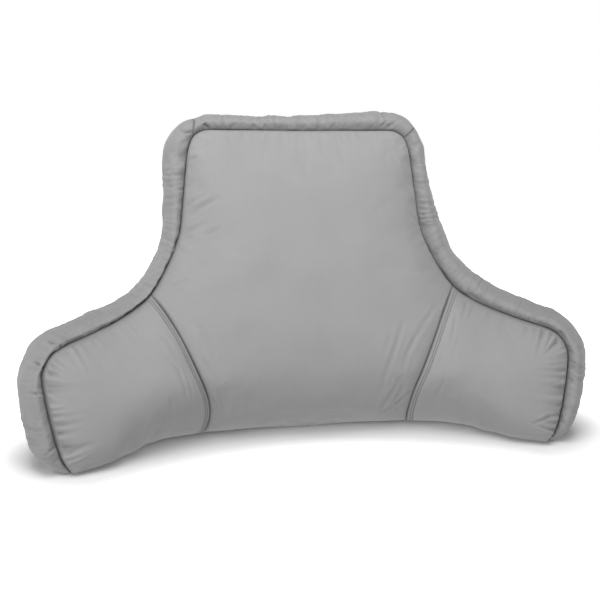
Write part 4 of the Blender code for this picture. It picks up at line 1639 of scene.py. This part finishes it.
BAND_TOP_FOLDS = (
    Fold(((210, 129), (205, 125), (200, 119)), -0.0032, 0.0030, 0.80, 0.8),
    Fold(((218, 129), (212, 121)), -0.0018, 0.0022, 0.20),
    Fold(((226, 130), (219, 120)), -0.0022, 0.0022, 0.24),
    Fold(((257, 130), (249, 121)), -0.0015, 0.0024, 0.12),
    Fold(((305, 130), (307, 118)), -0.0018, 0.0022, 0.20),
    Fold(((331, 128), (337, 118)), -0.0015, 0.0022, 0.14),
    Fold(((358, 127), (365, 118)), -0.0015, 0.0022, 0.14),
    Fold(((381, 126), (389, 119)), -0.0022, 0.0024, 0.40, 0.5),
    Fold(((389, 127), (399, 119)), -0.0026, 0.0024, 0.50, 0.5),
)
BAND_RIGHT_FOLDS = (
    Fold(((407, 151), (421, 151)), -0.0018, 0.0018, 0.18),
    Fold(((406, 138), (415, 133)), -0.0022, 0.0020, 0.26),
    Fold(((411, 166), (422, 163)), -0.0018, 0.0022, 0.16),
    Fold(((414, 182), (427, 180)), -0.0018, 0.0024, 0.16),
    Fold(((422, 215), (434, 211)), -0.0028, 0.0025, 0.65, 0.6),
    Fold(((426, 222), (437, 224)), -0.0020, 0.0022, 0.20),
    Fold(((438, 250), (450, 246)), -0.0018, 0.0024, 0.16),
    Fold(((468, 284), (477, 274)), -0.0018, 0.0024, 0.14),
    Fold(((500, 308), (506, 294)), -0.0020, 0.0024, 0.20),
    Fold(((512, 313), (520, 300)), -0.0020, 0.0024, 0.22),
    Fold(((535, 321), (548, 313)), -0.0024, 0.0024, 0.55, 0.5),
    Fold(((560, 332), (571, 330)), -0.0028, 0.0025, 0.80, 0.7),
    Fold(((567, 352), (577, 349)), -0.0018, 0.0022, 0.18),
    Fold(((562, 416), (570, 423)), -0.0028, 0.0026, 0.80, 0.6),
)


def make_sections() -> list[FilledSection]:
    """The three stuffed sections of the front."""
    shared = {"slot": "front_velour", "finish": FRONT_VELOUR}
    return [
        FilledSection("back_rest_cloth", ("back_rest",), cells=(224, 192), hidden_step=16,
                      folds=CENTRE_FOLDS, **shared),
        FilledSection("wing_left_cloth", ("wing_left",), side=Side.LEFT, seed=5.0,
                      folds=WING_LEFT_FOLDS, **shared),
        FilledSection("wing_right_cloth", ("wing_right",), side=Side.RIGHT, seed=7.0,
                      folds=WING_RIGHT_FOLDS, **shared),
    ]


def make_border() -> list[BorderRun]:
    """The three runs of the stuffed border strip."""
    shared = {"slot": "border_velour", "finish": BORDER_VELOUR}
    return [
        BorderRun("band_left_cloth", ("band_left",), side=Side.LEFT, seed=11.0,
                  folds=BAND_LEFT_FOLDS, **shared),
        BorderRun("band_right_cloth", ("band_right",), side=Side.RIGHT, seed=13.0,
                  folds=BAND_RIGHT_FOLDS, **shared),
        BorderRun("band_top_cloth", ("band_top",), cells=(56, 420), seed=17.0,
                  folds=BAND_TOP_FOLDS, **shared),
    ]


def main() -> None:
    """Build every piece of the cushion in order, then the camera and the studio."""
    logging.basicConfig(level=logging.INFO, format="%(name)s: %(message)s")
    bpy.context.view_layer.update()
    sections, border = make_sections(), make_border()
    for padded in (*sections, *border):
        padded.build()
        padded.dress()
    for wing in sections[1:]:
        name = f"crease_stitches_{wing.side.name.lower()}"
        rows = TopStitching(name, (), "front_velour", THREAD, wing=wing)
        rows.build()
        rows.dress()
    back = BackPanel("back_panel_cloth", ("back_panel",), "plain_velour", PLAIN_VELOUR)
    back.build()
    outline = back.ring(0.0)
    back.dress()
    base = BasePanel("base_panel_cloth", ("base_panel",), "plain_velour", PLAIN_VELOUR)
    base.build()
    across, front, rear = base.outline()
    base.dress()
    VIEW.build()
    Studio().build()


if __name__ == "__main__":
    main()
